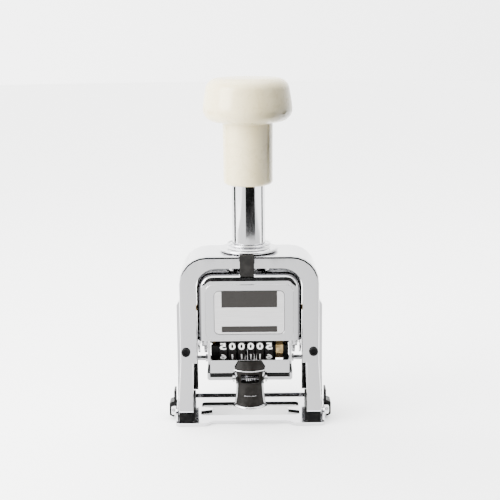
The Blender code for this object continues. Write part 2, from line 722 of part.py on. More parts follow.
def make_latch(side, name, material):
    """Black thumb latch: a thin tip beside the rib and a thick thumb pad below."""
    inner = LATCH_PIN_X - LATCH_HUB_RADIUS
    tip_outer = inner + LATCH_TIP_THICKNESS
    outline = rounded([
        (side * inner, LATCH_TIP_TOP, 0),
        (side * tip_outer, LATCH_TIP_TOP, 0),
        (side * tip_outer, LATCH_THUMB_TOP, LATCH_CORNER),
        (side * LATCH_OUTER_X, LATCH_THUMB_TOP - LATCH_CORNER, LATCH_CORNER),
        (side * LATCH_OUTER_X, LATCH_THUMB_BOTTOM + LATCH_CORNER, LATCH_CORNER),
        (side * LATCH_PIN_X, LATCH_THUMB_BOTTOM, 0),
        (side * inner, LATCH_PIN_Z - LATCH_HUB_RADIUS, 0)])
    latch = prism(name, "XZ", outline, LATCH_Y - LATCH_HALF_DEPTH,
                  LATCH_Y + LATCH_HALF_DEPTH, material)
    cut(latch, prism(f"{name} bore", "XZ", circle(
        side * LATCH_PIN_X, LATCH_PIN_Z, LATCH_BORE_RADIUS),
        LATCH_Y - LATCH_HALF_DEPTH - OVERRUN, LATCH_Y + LATCH_HALF_DEPTH + OVERRUN))
    set_origin(latch, LATCH_Y, LATCH_PIN_Z, side * LATCH_PIN_X)
    return latch


def make_latch_pin(side, name, material):
    """Hinge pin of a latch, from ear to ear."""
    reach = LATCH_HALF_DEPTH + GAP + EAR_THICKNESS
    return prism(name, "XZ", circle(side * LATCH_PIN_X, LATCH_PIN_Z, LATCH_PIN_RADIUS),
                 LATCH_Y - reach, LATCH_Y + reach, material)


def make_collar(material):
    """Stem bush: a flange on the casing and a barrel that also guides the stop."""
    flange_bottom = CASING_TOP + GAP
    flange_top = flange_bottom + COLLAR_FLANGE_HEIGHT
    edge = COLLAR_FLANGE_HEIGHT / 2
    bore = STEM_RADIUS + GAP
    profile = [(bore, COLLAR_BOTTOM), (COLLAR_BARREL_RADIUS, COLLAR_BOTTOM),
               (COLLAR_BARREL_RADIUS, flange_bottom),
               (COLLAR_FLANGE_RADIUS - edge, flange_bottom),
               (COLLAR_FLANGE_RADIUS, flange_bottom + edge),
               (COLLAR_FLANGE_RADIUS - edge, flange_top),
               (COLLAR_BOSS_RADIUS, flange_top),
               (COLLAR_BOSS_RADIUS - edge, flange_bottom + COLLAR_BOSS_HEIGHT),
               (bore, flange_bottom + COLLAR_BOSS_HEIGHT)]
    collar = turned("collar", profile, material, closed=True)
    half = STOP_TONGUE_HALF_WIDTH + GAP
    cut(collar, prism("tongue slot", "XZ", rectangle(
        STOP_CENTRE_X - half, STOP_CENTRE_X + half,
        COLLAR_BOTTOM - OVERRUN, STOP_TONGUE_TOP + GAP),
        -COLLAR_BARREL_RADIUS - OVERRUN, -STEM_RADIUS / 2))
    return collar


def make_collar_ring(material):
    """Ring that holds the collar from inside the casing."""
    top = CASING_TOP - CASING_WALL - GAP
    inner = COLLAR_BARREL_RADIUS + GAP
    profile = [(inner, top - RING_HEIGHT), (RING_RADIUS, top - RING_HEIGHT),
               (RING_RADIUS, top), (inner, top)]
    return turned("collar_ring", profile, material, closed=True)


def make_stop(material):
    """Sliding stop: pushed in, its tongue goes through the collar and clamps the stem."""
    left = STOP_CENTRE_X - STOP_HALF_WIDTH
    right = STOP_CENTRE_X + STOP_HALF_WIDTH
    lip_back = STOP_FRONT + STOP_LIP_SHEET
    side_view = [(STOP_FRONT, STOP_LIP_BOTTOM), (lip_back, STOP_LIP_BOTTOM),
                 (lip_back, STOP_BOTTOM), (STOP_BACK, STOP_BOTTOM),
                 (STOP_BACK, STOP_BODY_TOP),
                 (STOP_FRONT + STOP_RIDGE_DEPTH, STOP_BODY_TOP),
                 (STOP_FRONT + STOP_RIDGE_DEPTH, STOP_RIDGE_TOP),
                 (STOP_FRONT + STOP_EDGE, STOP_RIDGE_TOP),
                 (STOP_FRONT, STOP_RIDGE_TOP - STOP_EDGE)]
    stop = prism("stop_button", "YZ", side_view, left, right, material)
    add(stop, prism("stop tongue", "YZ", rectangle(
        STOP_BACK - STOP_EDGE, -STEM_RADIUS - GAP - STOP_TRAVEL, STOP_TONGUE_BOTTOM,
        STOP_TONGUE_TOP),
        STOP_CENTRE_X - STOP_TONGUE_HALF_WIDTH, STOP_CENTRE_X + STOP_TONGUE_HALF_WIDTH))
    set_origin(stop, STOP_FRONT, STOP_TONGUE_BOTTOM, STOP_CENTRE_X)
    return stop


def make_stem(material):
    """Stem with a neck for its nut."""
    shoulder = bracket_top() + GAP
    return turned("stem", [
        (STEM_NECK_RADIUS, STEM_NECK_BOTTOM), (STEM_NECK_RADIUS, shoulder),
        (STEM_RADIUS, shoulder), (STEM_RADIUS, STEM_TOP - STEM_CHAMFER),
        (STEM_RADIUS - STEM_CHAMFER, STEM_TOP)], material)


def make_handle(material):
    """Ivory handle: a sleeve with a rounded lower edge under a mushroom head."""
    bore = STEM_RADIUS + GAP
    edge = arc(SLEEVE_RADIUS_BOTTOM - SLEEVE_EDGE, HANDLE_BOTTOM + SLEEVE_EDGE, SLEEVE_EDGE,
               -math.pi / 2, 0, 4)
    lower = arc(HEAD_RADIUS - HEAD_SHOULDER_RADIUS, HEAD_WIDEST_Z, HEAD_SHOULDER_RADIUS,
                -math.pi / 2, 0, 5)
    upper_z = HANDLE_TOP - HEAD_SHOULDER_RADIUS - HANDLE_DOME
    upper = arc(HEAD_TOP_RADIUS - HEAD_SHOULDER_RADIUS, upper_z, HEAD_SHOULDER_RADIUS,
                0, math.pi / 2, 6)
    profile = [(bore, STEM_TOP + GAP), (bore, HANDLE_BOTTOM)]
    profile += [tuple(point) for point in edge]
    profile += [(SLEEVE_RADIUS_TOP, HEAD_BOTTOM)]
    profile += [tuple(point) for point in lower]
    profile += [tuple(point) for point in upper]
    profile += [(HEAD_TOP_FLAT_RADIUS, HANDLE_TOP - HANDLE_DOME / 3),
                (HEAD_TOP_FLAT_RADIUS / 2, HANDLE_TOP)]
    return turned("handle", profile, material)


def bracket_top():
    """Top face of the carriage bracket, just under the cover's roof."""
    return COVER_TOP - COVER_WALL - GAP


def make_stem_nut(material):
    """Hexagon nut that draws the stem's shoulder onto the bracket."""
    top = bracket_top() - BRACKET_SHEET - GAP
    bore = STEM_NECK_RADIUS + GAP
    nut = prism("stem_nut", "XY", circle(0, 0, NUT_RADIUS, NUT_SIDES), top - NUT_HEIGHT, top,
                material)
    cut(nut, turned("stem nut bore", [(bore, top - NUT_HEIGHT - OVERRUN),
                                      (bore, top + OVERRUN)]))
    return nut


def plate_end(front, back, top):
    """Side view of a carriage plate whose lower end is an arc about the tray's pivot."""
    start = math.pi + math.acos(min(1, (AXLE_Y - front) / PLATE_END_RADIUS))
    end = math.tau - math.acos((back - AXLE_Y) / PLATE_END_RADIUS)
    return [(front, top)] + arc(AXLE_Y, SWING_Z, PLATE_END_RADIUS, start, end,
                                2 * ARC_STEPS) + [(back, top)]


def x_hole(name, y, z, radius, reach):
    """Cutter for a round hole along X, as long as reach on both sides."""
    return cross_pin(name, y, z, [(-reach, radius), (reach, radius)])


def make_bracket(material):
    """Folded steel bracket: a top plate under the cover and two side plates."""
    outer = BRACKET_INNER_X + BRACKET_SHEET
    top = bracket_top()
    foot = SWING_Z - PLATE_END_RADIUS - OVERRUN
    fold = COVER_CORNER - COVER_WALL
    bracket = prism("carriage_bracket", "XZ", rounded([
        (-outer, foot, 0), (-BRACKET_INNER_X, foot, 0),
        (-BRACKET_INNER_X, top - BRACKET_SHEET, fold - BRACKET_SHEET),
        (BRACKET_INNER_X, top - BRACKET_SHEET, fold - BRACKET_SHEET),
        (BRACKET_INNER_X, foot, 0), (outer, foot, 0),
        (outer, top, fold), (-outer, top, fold)]),
        BRACKET_FRONT - OVERRUN, BRACKET_BACK + OVERRUN, material)
    keep_shared(bracket, prism("bracket side view", "YZ", plate_end(
        BRACKET_FRONT, BRACKET_BACK, top + OVERRUN), -outer - OVERRUN, outer + OVERRUN))
    cut(bracket, turned("neck hole", [
        (STEM_NECK_RADIUS + GAP, top - BRACKET_SHEET - OVERRUN),
        (STEM_NECK_RADIUS + GAP, top + OVERRUN)]))
    reach = outer + OVERRUN
    cut(bracket, x_hole("axle hole", AXLE_Y, AXLE_Z, AXLE_RADIUS + GAP, reach))
    cut(bracket, x_hole("pivot hole", AXLE_Y, SWING_Z, PIVOT_RADIUS + GAP, reach))
    cut(bracket, x_hole("shoe pin hole", RIB_Y, shoe_pin_z(), SHOE_PIN_RADIUS + GAP, reach))
    return bracket


def make_axle(material):
    """Wheel axle, held in both side plates of the bracket."""
    half = BRACKET_INNER_X + BRACKET_SHEET + GAP + AXLE_NUT_LENGTH + GAP
    return cross_pin("wheel_axle", AXLE_Y, AXLE_Z, [(-half, AXLE_RADIUS), (half, AXLE_RADIUS)],
                     material)


def make_axle_nut(side, name, material):
    """Round nut on an end of the axle."""
    near = BRACKET_INNER_X + BRACKET_SHEET + GAP
    return tube_along_x(name, AXLE_Y, AXLE_Z, AXLE_RADIUS + GAP, AXLE_NUT_RADIUS,
                        side * near, side * (near + AXLE_NUT_LENGTH), material)


def tube_along_x(name, y, z, bore, radius, near, far, material=None, steps=PIN_STEPS):
    """A ring with its axis along X."""
    shape = bmesh.new()
    rings = []
    for x, size in ((near, bore), (near, radius), (far, radius), (far, bore)):
        rings.append([shape.verts.new((x, y + size * math.cos(math.tau * step / steps),
                                       z + size * math.sin(math.tau * step / steps)))
                      for step in range(steps)])
    for low, high in zip(rings, rings[1:] + rings[:1]):
        for step in range(steps):
            ahead = (step + 1) % steps
            shape.faces.new((low[step], low[ahead], high[ahead], high[step]))
    return add_object(name, finish_mesh(name, shape), material)


def fold_edges(thing, radius):
    """Round the edges round the front and back of a folded shell."""
    bevel = thing.modifiers.new("fold", "BEVEL")
    bevel.width = radius
    bevel.segments = COVER_EDGE_STEPS
    bevel.limit_method = "ANGLE"
    bevel.angle_limit = FOLD_ANGLE


def make_cover(material):
    """Deep-drawn chrome cover with a raised front panel and a recess for the label."""
    foot = SWING_Z - PLATE_END_RADIUS - COVER_EDGE
    cover = prism("carriage_cover", "XZ", rounded([
        (-COVER_HALF_WIDTH, foot, 0), (COVER_HALF_WIDTH, foot, 0),
        (COVER_HALF_WIDTH, COVER_TOP, COVER_CORNER),
        (-COVER_HALF_WIDTH, COVER_TOP, COVER_CORNER)]),
        COVER_FRONT + PANEL_RISE, COVER_BACK + COVER_EDGE + OVERRUN, material)
    fold_edges(cover, COVER_EDGE)
    reach = COVER_HALF_WIDTH + OVERRUN
    sill = math.asin((SWING_Z - COVER_BOTTOM) / PLATE_END_RADIUS)
    side_view = [(COVER_FRONT - OVERRUN, COVER_TOP + OVERRUN),
                 (COVER_FRONT - OVERRUN, COVER_BOTTOM)]
    side_view += arc(AXLE_Y, SWING_Z, PLATE_END_RADIUS, math.pi + sill, math.tau - sill,
                     2 * ARC_STEPS)
    side_view += [(COVER_BACK, COVER_BOTTOM), (COVER_BACK, COVER_TOP + OVERRUN)]
    keep_shared(cover, prism("cover side view", "YZ", side_view, -reach, reach))
    panel = prism("front panel", "XZ", rectangle(
        -PANEL_HALF_WIDTH, PANEL_HALF_WIDTH, PANEL_BOTTOM, PANEL_TOP, PANEL_CORNER),
        COVER_FRONT, COVER_FRONT + PANEL_RISE + COVER_WALL / 2)
    add(cover, panel)
    inner = COVER_HALF_WIDTH - COVER_WALL
    inside_bottom = SWING_Z - PLATE_END_RADIUS - COVER_EDGE
    inside = prism("cover inside", "XZ", rounded([
        (-inner, inside_bottom, 0), (inner, inside_bottom, 0),
        (inner, COVER_TOP - COVER_WALL, COVER_CORNER - COVER_WALL),
        (-inner, COVER_TOP - COVER_WALL, COVER_CORNER - COVER_WALL)]),
        COVER_FRONT + PANEL_RISE + COVER_WALL, COVER_BACK + COVER_EDGE + OVERRUN)
    fold_edges(inside, COVER_INNER_EDGE)
    cut(cover, inside)
    cut(cover, prism("label recess", "XZ", rectangle(
        -LABEL_HALF_WIDTH - GAP, LABEL_HALF_WIDTH + GAP, LABEL_BOTTOM - GAP,
        LABEL_TOP + GAP, LABEL_CORNER + GAP),
        COVER_FRONT - OVERRUN, COVER_FRONT + LABEL_THICKNESS + GAP))
    cut(cover, turned("stem hole", [(STEM_RADIUS + GAP, COVER_TOP - COVER_WALL - OVERRUN),
                                    (STEM_RADIUS + GAP, COVER_TOP + OVERRUN)]))
    cut(cover, x_hole("cover shoe pin holes", RIB_Y, shoe_pin_z(), SHOE_PIN_RADIUS + GAP,
                      COVER_HALF_WIDTH + OVERRUN))
    return cover


def make_nameplate(material):
    """Thin label in the cover's recess."""
    return prism("nameplate", "XZ", rectangle(
        -LABEL_HALF_WIDTH, LABEL_HALF_WIDTH, LABEL_BOTTOM, LABEL_TOP, LABEL_CORNER),
        COVER_FRONT, COVER_FRONT + LABEL_THICKNESS, material)


def make_back_plate(material):
    """Plate that closes the cover's back above the wheels."""
    half = COVER_HALF_WIDTH - COVER_WALL - GAP
    top = bracket_top()
    return prism("carriage_back", "XZ", rectangle(
        -half, half, BACK_PLATE_BOTTOM, top, COVER_CORNER - COVER_WALL),
        COVER_BACK - BACK_PLATE_SHEET, COVER_BACK, material)


def wheel_outline():
    """Flat type pads round a wheel, one for each face, with notches between them."""
    outline = []
    for face in range(WHEEL_FACES):
        middle = math.tau * face / WHEEL_FACES
        pad_reach = math.sqrt(WHEEL_RADIUS ** 2 - PAD_HALF_WIDTH ** 2)
        along = Vector((math.cos(middle), math.sin(middle)))
        across = Vector((-along.y, along.x))
        for radius, offset in ((WHEEL_ROOT_RADIUS, -1), (pad_reach, -1), (pad_reach, 1),
                               (WHEEL_ROOT_RADIUS, 1)):
            point = along * radius + across * offset * PAD_HALF_WIDTH
            outline.append(point + Vector((AXLE_Y, AXLE_Z)))
    return outline


def ratchet_outline(teeth, tip, root):
    """Saw teeth round the axle: a steep face and a long back on each tooth."""
    outline = []
    for tooth in range(teeth):
        start = math.tau * tooth / teeth
        for radius, angle in ((tip, start), (root, start)):
            outline.append(Vector((AXLE_Y + radius * math.cos(angle),
                                   AXLE_Z + radius * math.sin(angle))))
    return outline


def make_number_wheel(index, material):
    """A number wheel with its type pads and a ratchet on its right side."""
    middle = WHEEL_FIRST_X + index * WHEEL_PITCH
    left = middle - WHEEL_WIDTH / 2
    right = middle + WHEEL_WIDTH / 2
    wheel = prism(f"number_wheel_{index + 1}", "YZ", wheel_outline(), left, right, material)
    add(wheel, prism(f"ratchet {index}", "YZ", ratchet_outline(
        WHEEL_FACES, RATCHET_RADIUS, RATCHET_ROOT_RADIUS),
        right - RATCHET_WIDTH, right + RATCHET_WIDTH))
    cut(wheel, cross_pin(f"wheel bore {index}", AXLE_Y, AXLE_Z, [
        (left - RATCHET_WIDTH, AXLE_RADIUS + GAP),
        (right + 2 * RATCHET_WIDTH, AXLE_RADIUS + GAP)]))
    set_origin(wheel, AXLE_Y, AXLE_Z, middle)
    return wheel


def make_repeat_wheel(material):
    """Brass wheel that counts the repeats before the number wheels step."""
    left = REPEAT_WHEEL_X - REPEAT_WHEEL_WIDTH / 2
    right = REPEAT_WHEEL_X + REPEAT_WHEEL_WIDTH / 2
    wheel = prism("repeat_wheel", "YZ", ratchet_outline(
        REPEAT_TEETH, REPEAT_WHEEL_RADIUS, REPEAT_WHEEL_ROOT), left, right, material)
    cut(wheel, cross_pin("repeat bore", AXLE_Y, AXLE_Z, [
        (left - OVERRUN, AXLE_RADIUS + GAP), (right + OVERRUN, AXLE_RADIUS + GAP)]))
    set_origin(wheel, AXLE_Y, AXLE_Z, REPEAT_WHEEL_X)
    return wheel


def yoke_rod_place():
    """Centre of the yoke's rod, behind and above the wheels."""
    return (AXLE_Y + YOKE_ROD_DISTANCE * math.cos(YOKE_ROD_ANGLE),
            AXLE_Z + YOKE_ROD_DISTANCE * math.sin(YOKE_ROD_ANGLE))


def make_yoke(material):
    """Feed yoke: two arms on the axle, joined by a rod across the wheels' back."""
    rod_y, rod_z = yoke_rod_place()
    outer = YOKE_INNER_X + YOKE_SHEET
    yoke = cross_pin("feed_yoke", rod_y, rod_z,
                     [(-outer + YOKE_SHEET / 2, YOKE_ROD_RADIUS),
                      (outer - YOKE_SHEET / 2, YOKE_ROD_RADIUS)], material)
    arm_end = math.hypot(rod_y - AXLE_Y, rod_z - AXLE_Z)
    for side in (-1, 1):
        edges = sorted((side * YOKE_INNER_X, side * outer))
        along = Vector((rod_y - AXLE_Y, rod_z - AXLE_Z)) / arm_end
        turn = math.atan2(along.y, along.x)
        outline = arc(AXLE_Y, AXLE_Z, YOKE_HUB_RADIUS, turn + math.pi / 3,
                      turn + math.tau - math.pi / 3, 2 * ARC_STEPS)
        outline += arc(rod_y, rod_z, YOKE_ARM_HALF_WIDTH, turn - math.pi / 2,
                       turn + math.pi / 2)
        arm = prism(f"yoke arm {side}", "YZ", outline, *edges)
        add(yoke, arm)
    for side in (-1, 1):
        cut(yoke, cross_pin(f"yoke bore {side}", AXLE_Y, AXLE_Z, [
            (side * (YOKE_INNER_X - OVERRUN / 2), AXLE_RADIUS + GAP),
            (side * (outer + OVERRUN), AXLE_RADIUS + GAP)]))
    set_origin(yoke, AXLE_Y, AXLE_Z)
    return yoke


def make_pawl(material):
    """Feed pawl: a hub on the yoke's rod with a finger for each wheel's ratchet."""
    rod_y, rod_z = yoke_rod_place()
    half = YOKE_INNER_X - GAP
    pawl = tube_along_x("feed_pawl", rod_y, rod_z, YOKE_ROD_RADIUS + GAP, PAWL_HUB_RADIUS,
                        -half, half, material)
    centre = Vector((rod_y, rod_z))
    inward = (Vector((AXLE_Y, AXLE_Z)) - centre).normalized()
    across = Vector((-inward.y, inward.x))
    start = centre + inward * (YOKE_ROD_RADIUS + PAWL_HUB_RADIUS) / 2
    reach = YOKE_ROD_DISTANCE - PAWL_FINGER_TIP_RADIUS
    tip = centre + inward * reach
    root = PAWL_FINGER_ROOT_HALF_WIDTH
    finger = [start + across * root, start - across * root,
              tip - across * root / 3, tip + across * root / 3]
    for index in range(WHEEL_COUNT):
        x = WHEEL_FIRST_X + index * WHEEL_PITCH + WHEEL_PITCH / 2
        add(pawl, prism(f"finger {index}", "YZ", finger, x - PAWL_FINGER_THICKNESS / 2,
                        x + PAWL_FINGER_THICKNESS / 2))
    set_origin(pawl, rod_y, rod_z)
    return pawl


def make_detent_bar(material):
    """Bar between the bracket's side plates that carries the detent leaves."""
    half = BRACKET_INNER_X - GAP
    return cross_pin("detent_bar", DETENT_BAR_Y, DETENT_BAR_Z,
                     [(-half, DETENT_BAR_RADIUS), (half, DETENT_BAR_RADIUS)], material)


def make_detents(material):
    """Spring leaves that hold the wheels, cut from one strip before the bar."""
    left = WHEEL_FIRST_X - DETENT_WIDTH / 2
    right = WHEEL_FIRST_X + (WHEEL_COUNT - 1) * WHEEL_PITCH + DETENT_WIDTH / 2
    front = DETENT_BAR_Y - DETENT_BAR_RADIUS - GAP
    outline = [(front, DETENT_BAR_Z + DETENT_STRIP_HEIGHT / 2),
               (front - DETENT_SHEET, DETENT_BAR_Z + DETENT_STRIP_HEIGHT / 2),
               (front - DETENT_SHEET, DETENT_BAR_Z - DETENT_STRIP_HEIGHT / 2),
               (DETENT_LEAF_Y - DETENT_SHEET, DETENT_TIP_Z + DETENT_SHEET),
               (DETENT_LEAF_Y, DETENT_TIP_Z), (DETENT_LEAF_Y + DETENT_SHEET, DETENT_TIP_Z),
               (front, DETENT_BAR_Z - DETENT_STRIP_HEIGHT / 2)]
    leaves = prism("detent_leaves", "YZ", outline, left, right, material)
    for index in range(WHEEL_COUNT - 1):
        x = WHEEL_FIRST_X + index * WHEEL_PITCH + WHEEL_PITCH / 2
        half = (WHEEL_PITCH - DETENT_WIDTH) / 2
        cut(leaves, prism(f"leaf slot {index}", "XZ", rectangle(
            x - half, x + half, DETENT_TIP_Z - OVERRUN,
            DETENT_BAR_Z - DETENT_STRIP_HEIGHT / 2),
            DETENT_LEAF_Y - OVERRUN, DETENT_BAR_Y))
    return leaves


def shoe_pin_z():
    """Height of the pins that carry the guide shoes."""
    return (SHOE_BOTTOM + SHOE_TOP) / 2


def make_shoe(side, name, material):
    """Slide block in the casing's groove, on a pin from the carriage."""
    groove = RIB_OUTER_X - RIB_WALL
    edges = sorted((side * SHOE_INNER_X, side * (groove - GAP)))
    shoe = prism(name, "YZ", rectangle(
        RIB_Y - SHOE_HALF_DEPTH, RIB_Y + SHOE_HALF_DEPTH, SHOE_BOTTOM, SHOE_TOP), *edges,
        material)
    add(shoe, cross_pin(f"{name} pin", RIB_Y, shoe_pin_z(), [
        (side * BRACKET_INNER_X, SHOE_PIN_RADIUS),
        (side * (SHOE_INNER_X + GAP), SHOE_PIN_RADIUS)]))
    return shoe


def coil_points(radius, pitch, curls, points_per_curl):
    """Points of a coil about its own axis, with straight ends one wire thick."""
    count = int(curls * points_per_curl)
    return [Vector((radius * math.cos(math.tau * step / points_per_curl),
                    radius * math.sin(math.tau * step / points_per_curl),
                    pitch * step / points_per_curl)) for step in range(count + 1)]


def make_wire(name, points, radius, material):
    """A closed wire along points."""
    curve = bpy.data.curves.new(name, "CURVE")
    curve.dimensions = "3D"
    curve.bevel_depth = radius
    curve.bevel_resolution = 1
    curve.use_fill_caps = True
    spline = curve.splines.new("POLY")
    spline.points.add(len(points) - 1)
    for place, point in zip(spline.points, points):
        place.co = (*point, 1.0)
    curve.materials.append(material)
    wire = bpy.data.objects.new(name, curve)
    bpy.context.collection.objects.link(wire)
    return wire


def least_gap(points, radius, near):
    """Least gap of a wire to itself, leaving out neighbours along it."""
    return min((points[one] - points[two]).length - 2 * radius
               for one in range(len(points)) for two in range(one + near, len(points)))


def make_spring(side, name, material):
    """Return spring in a leg, between its seat and the guide shoe."""
    bottom = SPRING_SEAT_TOP + GAP + SPRING_WIRE_RADIUS
    top = SHOE_BOTTOM - GAP - SPRING_WIRE_RADIUS
    pitch = (top - bottom) / SPRING_CURLS
    points = coil_points(SPRING_MEAN_RADIUS, pitch, SPRING_CURLS, SPRING_POINTS_PER_CURL)
    straight = 2 * SPRING_WIRE_RADIUS
    for end, step in ((0, 1), (-1, -2)):
        run = (points[end] - points[step]).normalized()
        run.z = 0
        extra = points[end] + run * straight
        points = [extra] + points if end == 0 else points + [extra]
    print(f"{name}: least gap {least_gap(points, SPRING_WIRE_RADIUS, 6) * 1000:.2f} mm")
    wire = make_wire(name, points, SPRING_WIRE_RADIUS, material)
    wire.location = (side * SPRING_X, RIB_Y, bottom)
    return wire


def make_tray(material):
    """Ink tray: a floor under the wheels and two arms cranked past the axle."""
    outer = ARM_INNER_X + ARM_SHEET
    floor_top = TRAY_BOTTOM + TRAY_FLOOR
    top = SWING_Z + ARM_BOSS_RADIUS
    tray = prism("ink_tray", "XZ", rounded([
        (-outer, TRAY_BOTTOM, TRAY_CORNER), (outer, TRAY_BOTTOM, TRAY_CORNER),
        (outer, top, 0), (ARM_INNER_X, top, 0), (ARM_INNER_X, floor_top, 0),
        (-ARM_INNER_X, floor_top, 0), (-ARM_INNER_X, top, 0), (-outer, top, 0)]),
        TRAY_FRONT - OVERRUN, TRAY_BACK + OVERRUN, material)
    side_view = arc(AXLE_Y, SWING_Z, ARM_BOSS_RADIUS, 0, math.pi, ARM_STEPS)
    side_view += [(ARM_FRONT_Y, ARM_NECK_TOP), (ARM_FRONT_Y, ARM_FOOT_TOP),
                  (TRAY_FRONT, ARM_FOOT_TOP - TRAY_FLOOR),
                  (TRAY_FRONT, TRAY_BOTTOM - OVERRUN), (TRAY_BACK, TRAY_BOTTOM - OVERRUN),
                  (TRAY_BACK, ARM_FOOT_TOP),
                  (FOLLOWER_Y + ARM_BOSS_RADIUS, ARM_NECK_BOTTOM - ARM_BOSS_RADIUS),
                  (ARM_BACK_Y, ARM_NECK_BOTTOM), (ARM_BACK_Y, ARM_NECK_TOP)]
    keep_shared(tray, prism("tray side view", "YZ", side_view, -outer - OVERRUN,
                            outer + OVERRUN))
    for side in (-1, 1):
        lug = arc(CATCH_Y, CATCH_Z, LUG_RADIUS, math.pi / 2, math.pi * 3 / 2, ARM_STEPS)
        lug += [(TRAY_FRONT + TRAY_FLOOR, TRAY_BOTTOM + GAP),
                (TRAY_FRONT + TRAY_FLOOR, floor_top - GAP), (TRAY_FRONT, floor_top - GAP),
                (TRAY_FRONT - GAP, CATCH_Z + LUG_RADIUS)]
        add(tray, prism(f"catch lug {side}", "YZ", lug, *sorted(
            (side * LUG_INNER_X, side * (LUG_INNER_X + LUG_SHEET)))))
    reach = outer + OVERRUN
    cut(tray, x_hole("arm bores", AXLE_Y, SWING_Z, PIVOT_RADIUS + GAP, reach))
    cut(tray, x_hole("follower holes", FOLLOWER_Y, FOLLOWER_Z, FOLLOWER_RADIUS + GAP, reach))
    cut(tray, x_hole("lug holes", CATCH_Y, CATCH_Z, CATCH_PIN_RADIUS + GAP, reach))
    set_origin(tray, AXLE_Y, SWING_Z)
    return tray


def make_pivot(side, name, material):
    """Headed pin in the bracket, on which an arm of the tray swings."""
    inner = ARM_INNER_X - GAP
    outer = BRACKET_INNER_X + BRACKET_SHEET + GAP
    return cross_pin(name, AXLE_Y, SWING_Z, [
        (side * (inner - PIVOT_HEAD_THICKNESS), PIVOT_HEAD_RADIUS),
        (side * inner, PIVOT_HEAD_RADIUS), (side * inner, PIVOT_RADIUS),
        (side * outer, PIVOT_RADIUS), (side * outer, PIVOT_HEAD_RADIUS),
        (side * (outer + PIVOT_HEAD_THICKNESS), PIVOT_HEAD_RADIUS)], material)


def make_follower(side, name, material):
    """Pin on an arm of the tray that rides in a cam plate."""
    inner = ARM_INNER_X - GAP
    outer = BRACKET_INNER_X
    end = CAM_INNER_X + CAM_SHEET + GAP
    pin = cross_pin(name, FOLLOWER_Y, FOLLOWER_Z, [
        (side * (inner - FOLLOWER_FLANGE_THICKNESS), FOLLOWER_FLANGE_RADIUS),
        (side * inner, FOLLOWER_FLANGE_RADIUS), (side * inner, FOLLOWER_RADIUS),
        (side * outer, FOLLOWER_RADIUS), (side * outer, FOLLOWER_FLANGE_RADIUS),
        (side * (outer + FOLLOWER_FLANGE_THICKNESS), FOLLOWER_FLANGE_RADIUS),
        (side * (outer + FOLLOWER_FLANGE_THICKNESS), FOLLOWER_RADIUS),
        (side * end, FOLLOWER_RADIUS)], material)
    set_origin(pin, AXLE_Y, SWING_Z)
    return pin


def make_pad_case(material):
    """Shallow black case that holds the ink pad on the tray."""
    bottom = TRAY_BOTTOM + TRAY_FLOOR + GAP
    front = TRAY_FRONT + GAP
    case = prism("pad_case", "XY", rectangle(-CASE_HALF_WIDTH, CASE_HALF_WIDTH, front,
                                             CASE_BACK), bottom, bottom + CASE_HEIGHT, material)
    cut(case, prism("case recess", "XY", rectangle(
        -CASE_HALF_WIDTH + CASE_WALL, CASE_HALF_WIDTH - CASE_WALL,
        front + KEEPER_SHEET + CASE_WALL, CASE_BACK - CASE_WALL),
        bottom + CASE_FLOOR, bottom + CASE_HEIGHT + OVERRUN))
    set_origin(case, AXLE_Y, SWING_Z)
    return case


def make_pad(material):
    """Felt ink pad under the wheels."""
    bottom = TRAY_BOTTOM + TRAY_FLOOR + GAP + CASE_FLOOR + GAP
    half = CASE_HALF_WIDTH - CASE_WALL - GAP
    front = TRAY_FRONT + GAP + KEEPER_SHEET + CASE_WALL + GAP
    pad = prism("ink_pad", "XY", rectangle(-half, half, front, CASE_BACK - CASE_WALL - GAP),
                bottom, PAD_TOP, material)
    set_origin(pad, AXLE_Y, SWING_Z)
    return pad


def make_keeper(material):
    """Upright chrome plate on the case's front edge."""
    bottom = TRAY_BOTTOM + TRAY_FLOOR + GAP + CASE_HEIGHT + GAP
    front = TRAY_FRONT + GAP
    keeper = prism("pad_keeper", "XZ", rounded([
        (-KEEPER_HALF_WIDTH, bottom, 0), (KEEPER_HALF_WIDTH, bottom, 0),
        (KEEPER_HALF_WIDTH, KEEPER_TOP, KEEPER_CORNER),
        (-KEEPER_HALF_WIDTH, KEEPER_TOP, KEEPER_CORNER)]), front, front + KEEPER_SHEET,
        material)
    set_origin(keeper, AXLE_Y, SWING_Z)
    return keeper


def follower_path():
    """Path of a follower pin past the casing during the whole stroke."""
    arm = Vector((FOLLOWER_Y - AXLE_Y, FOLLOWER_Z - SWING_Z))
    rest = math.atan2(-arm.x, -arm.y)
    path = []
    for step in range(CAM_PATH_STEPS + 1):
        share = step / CAM_PATH_STEPS
        angle = rest + SWING_ANGLE * share
        path.append(Vector((AXLE_Y - arm.length * math.sin(angle),
                            SWING_Z - TRAVEL * share - arm.length * math.cos(angle))))
    return path


def slot_outline(path, half_width):
    """Outline of a slot with round ends along a path."""
    def normal(index):
        run = path[min(index + 1, len(path) - 1)] - path[max(index - 1, 0)]
        return Vector((-run.y, run.x)).normalized()
    left = [point + normal(index) * half_width for index, point in enumerate(path)]
    right = [point - normal(index) * half_width for index, point in enumerate(path)]
    last = normal(len(path) - 1)
    first = normal(0)
    end_turn = math.atan2(last.y, last.x)
    start_turn = math.atan2(-first.y, -first.x)
    far = arc(path[-1].x, path[-1].y, half_width, end_turn, end_turn - math.pi)[1:-1]
    near = arc(path[0].x, path[0].y, half_width, start_turn, start_turn - math.pi)[1:-1]
    return left + far + right[::-1] + near


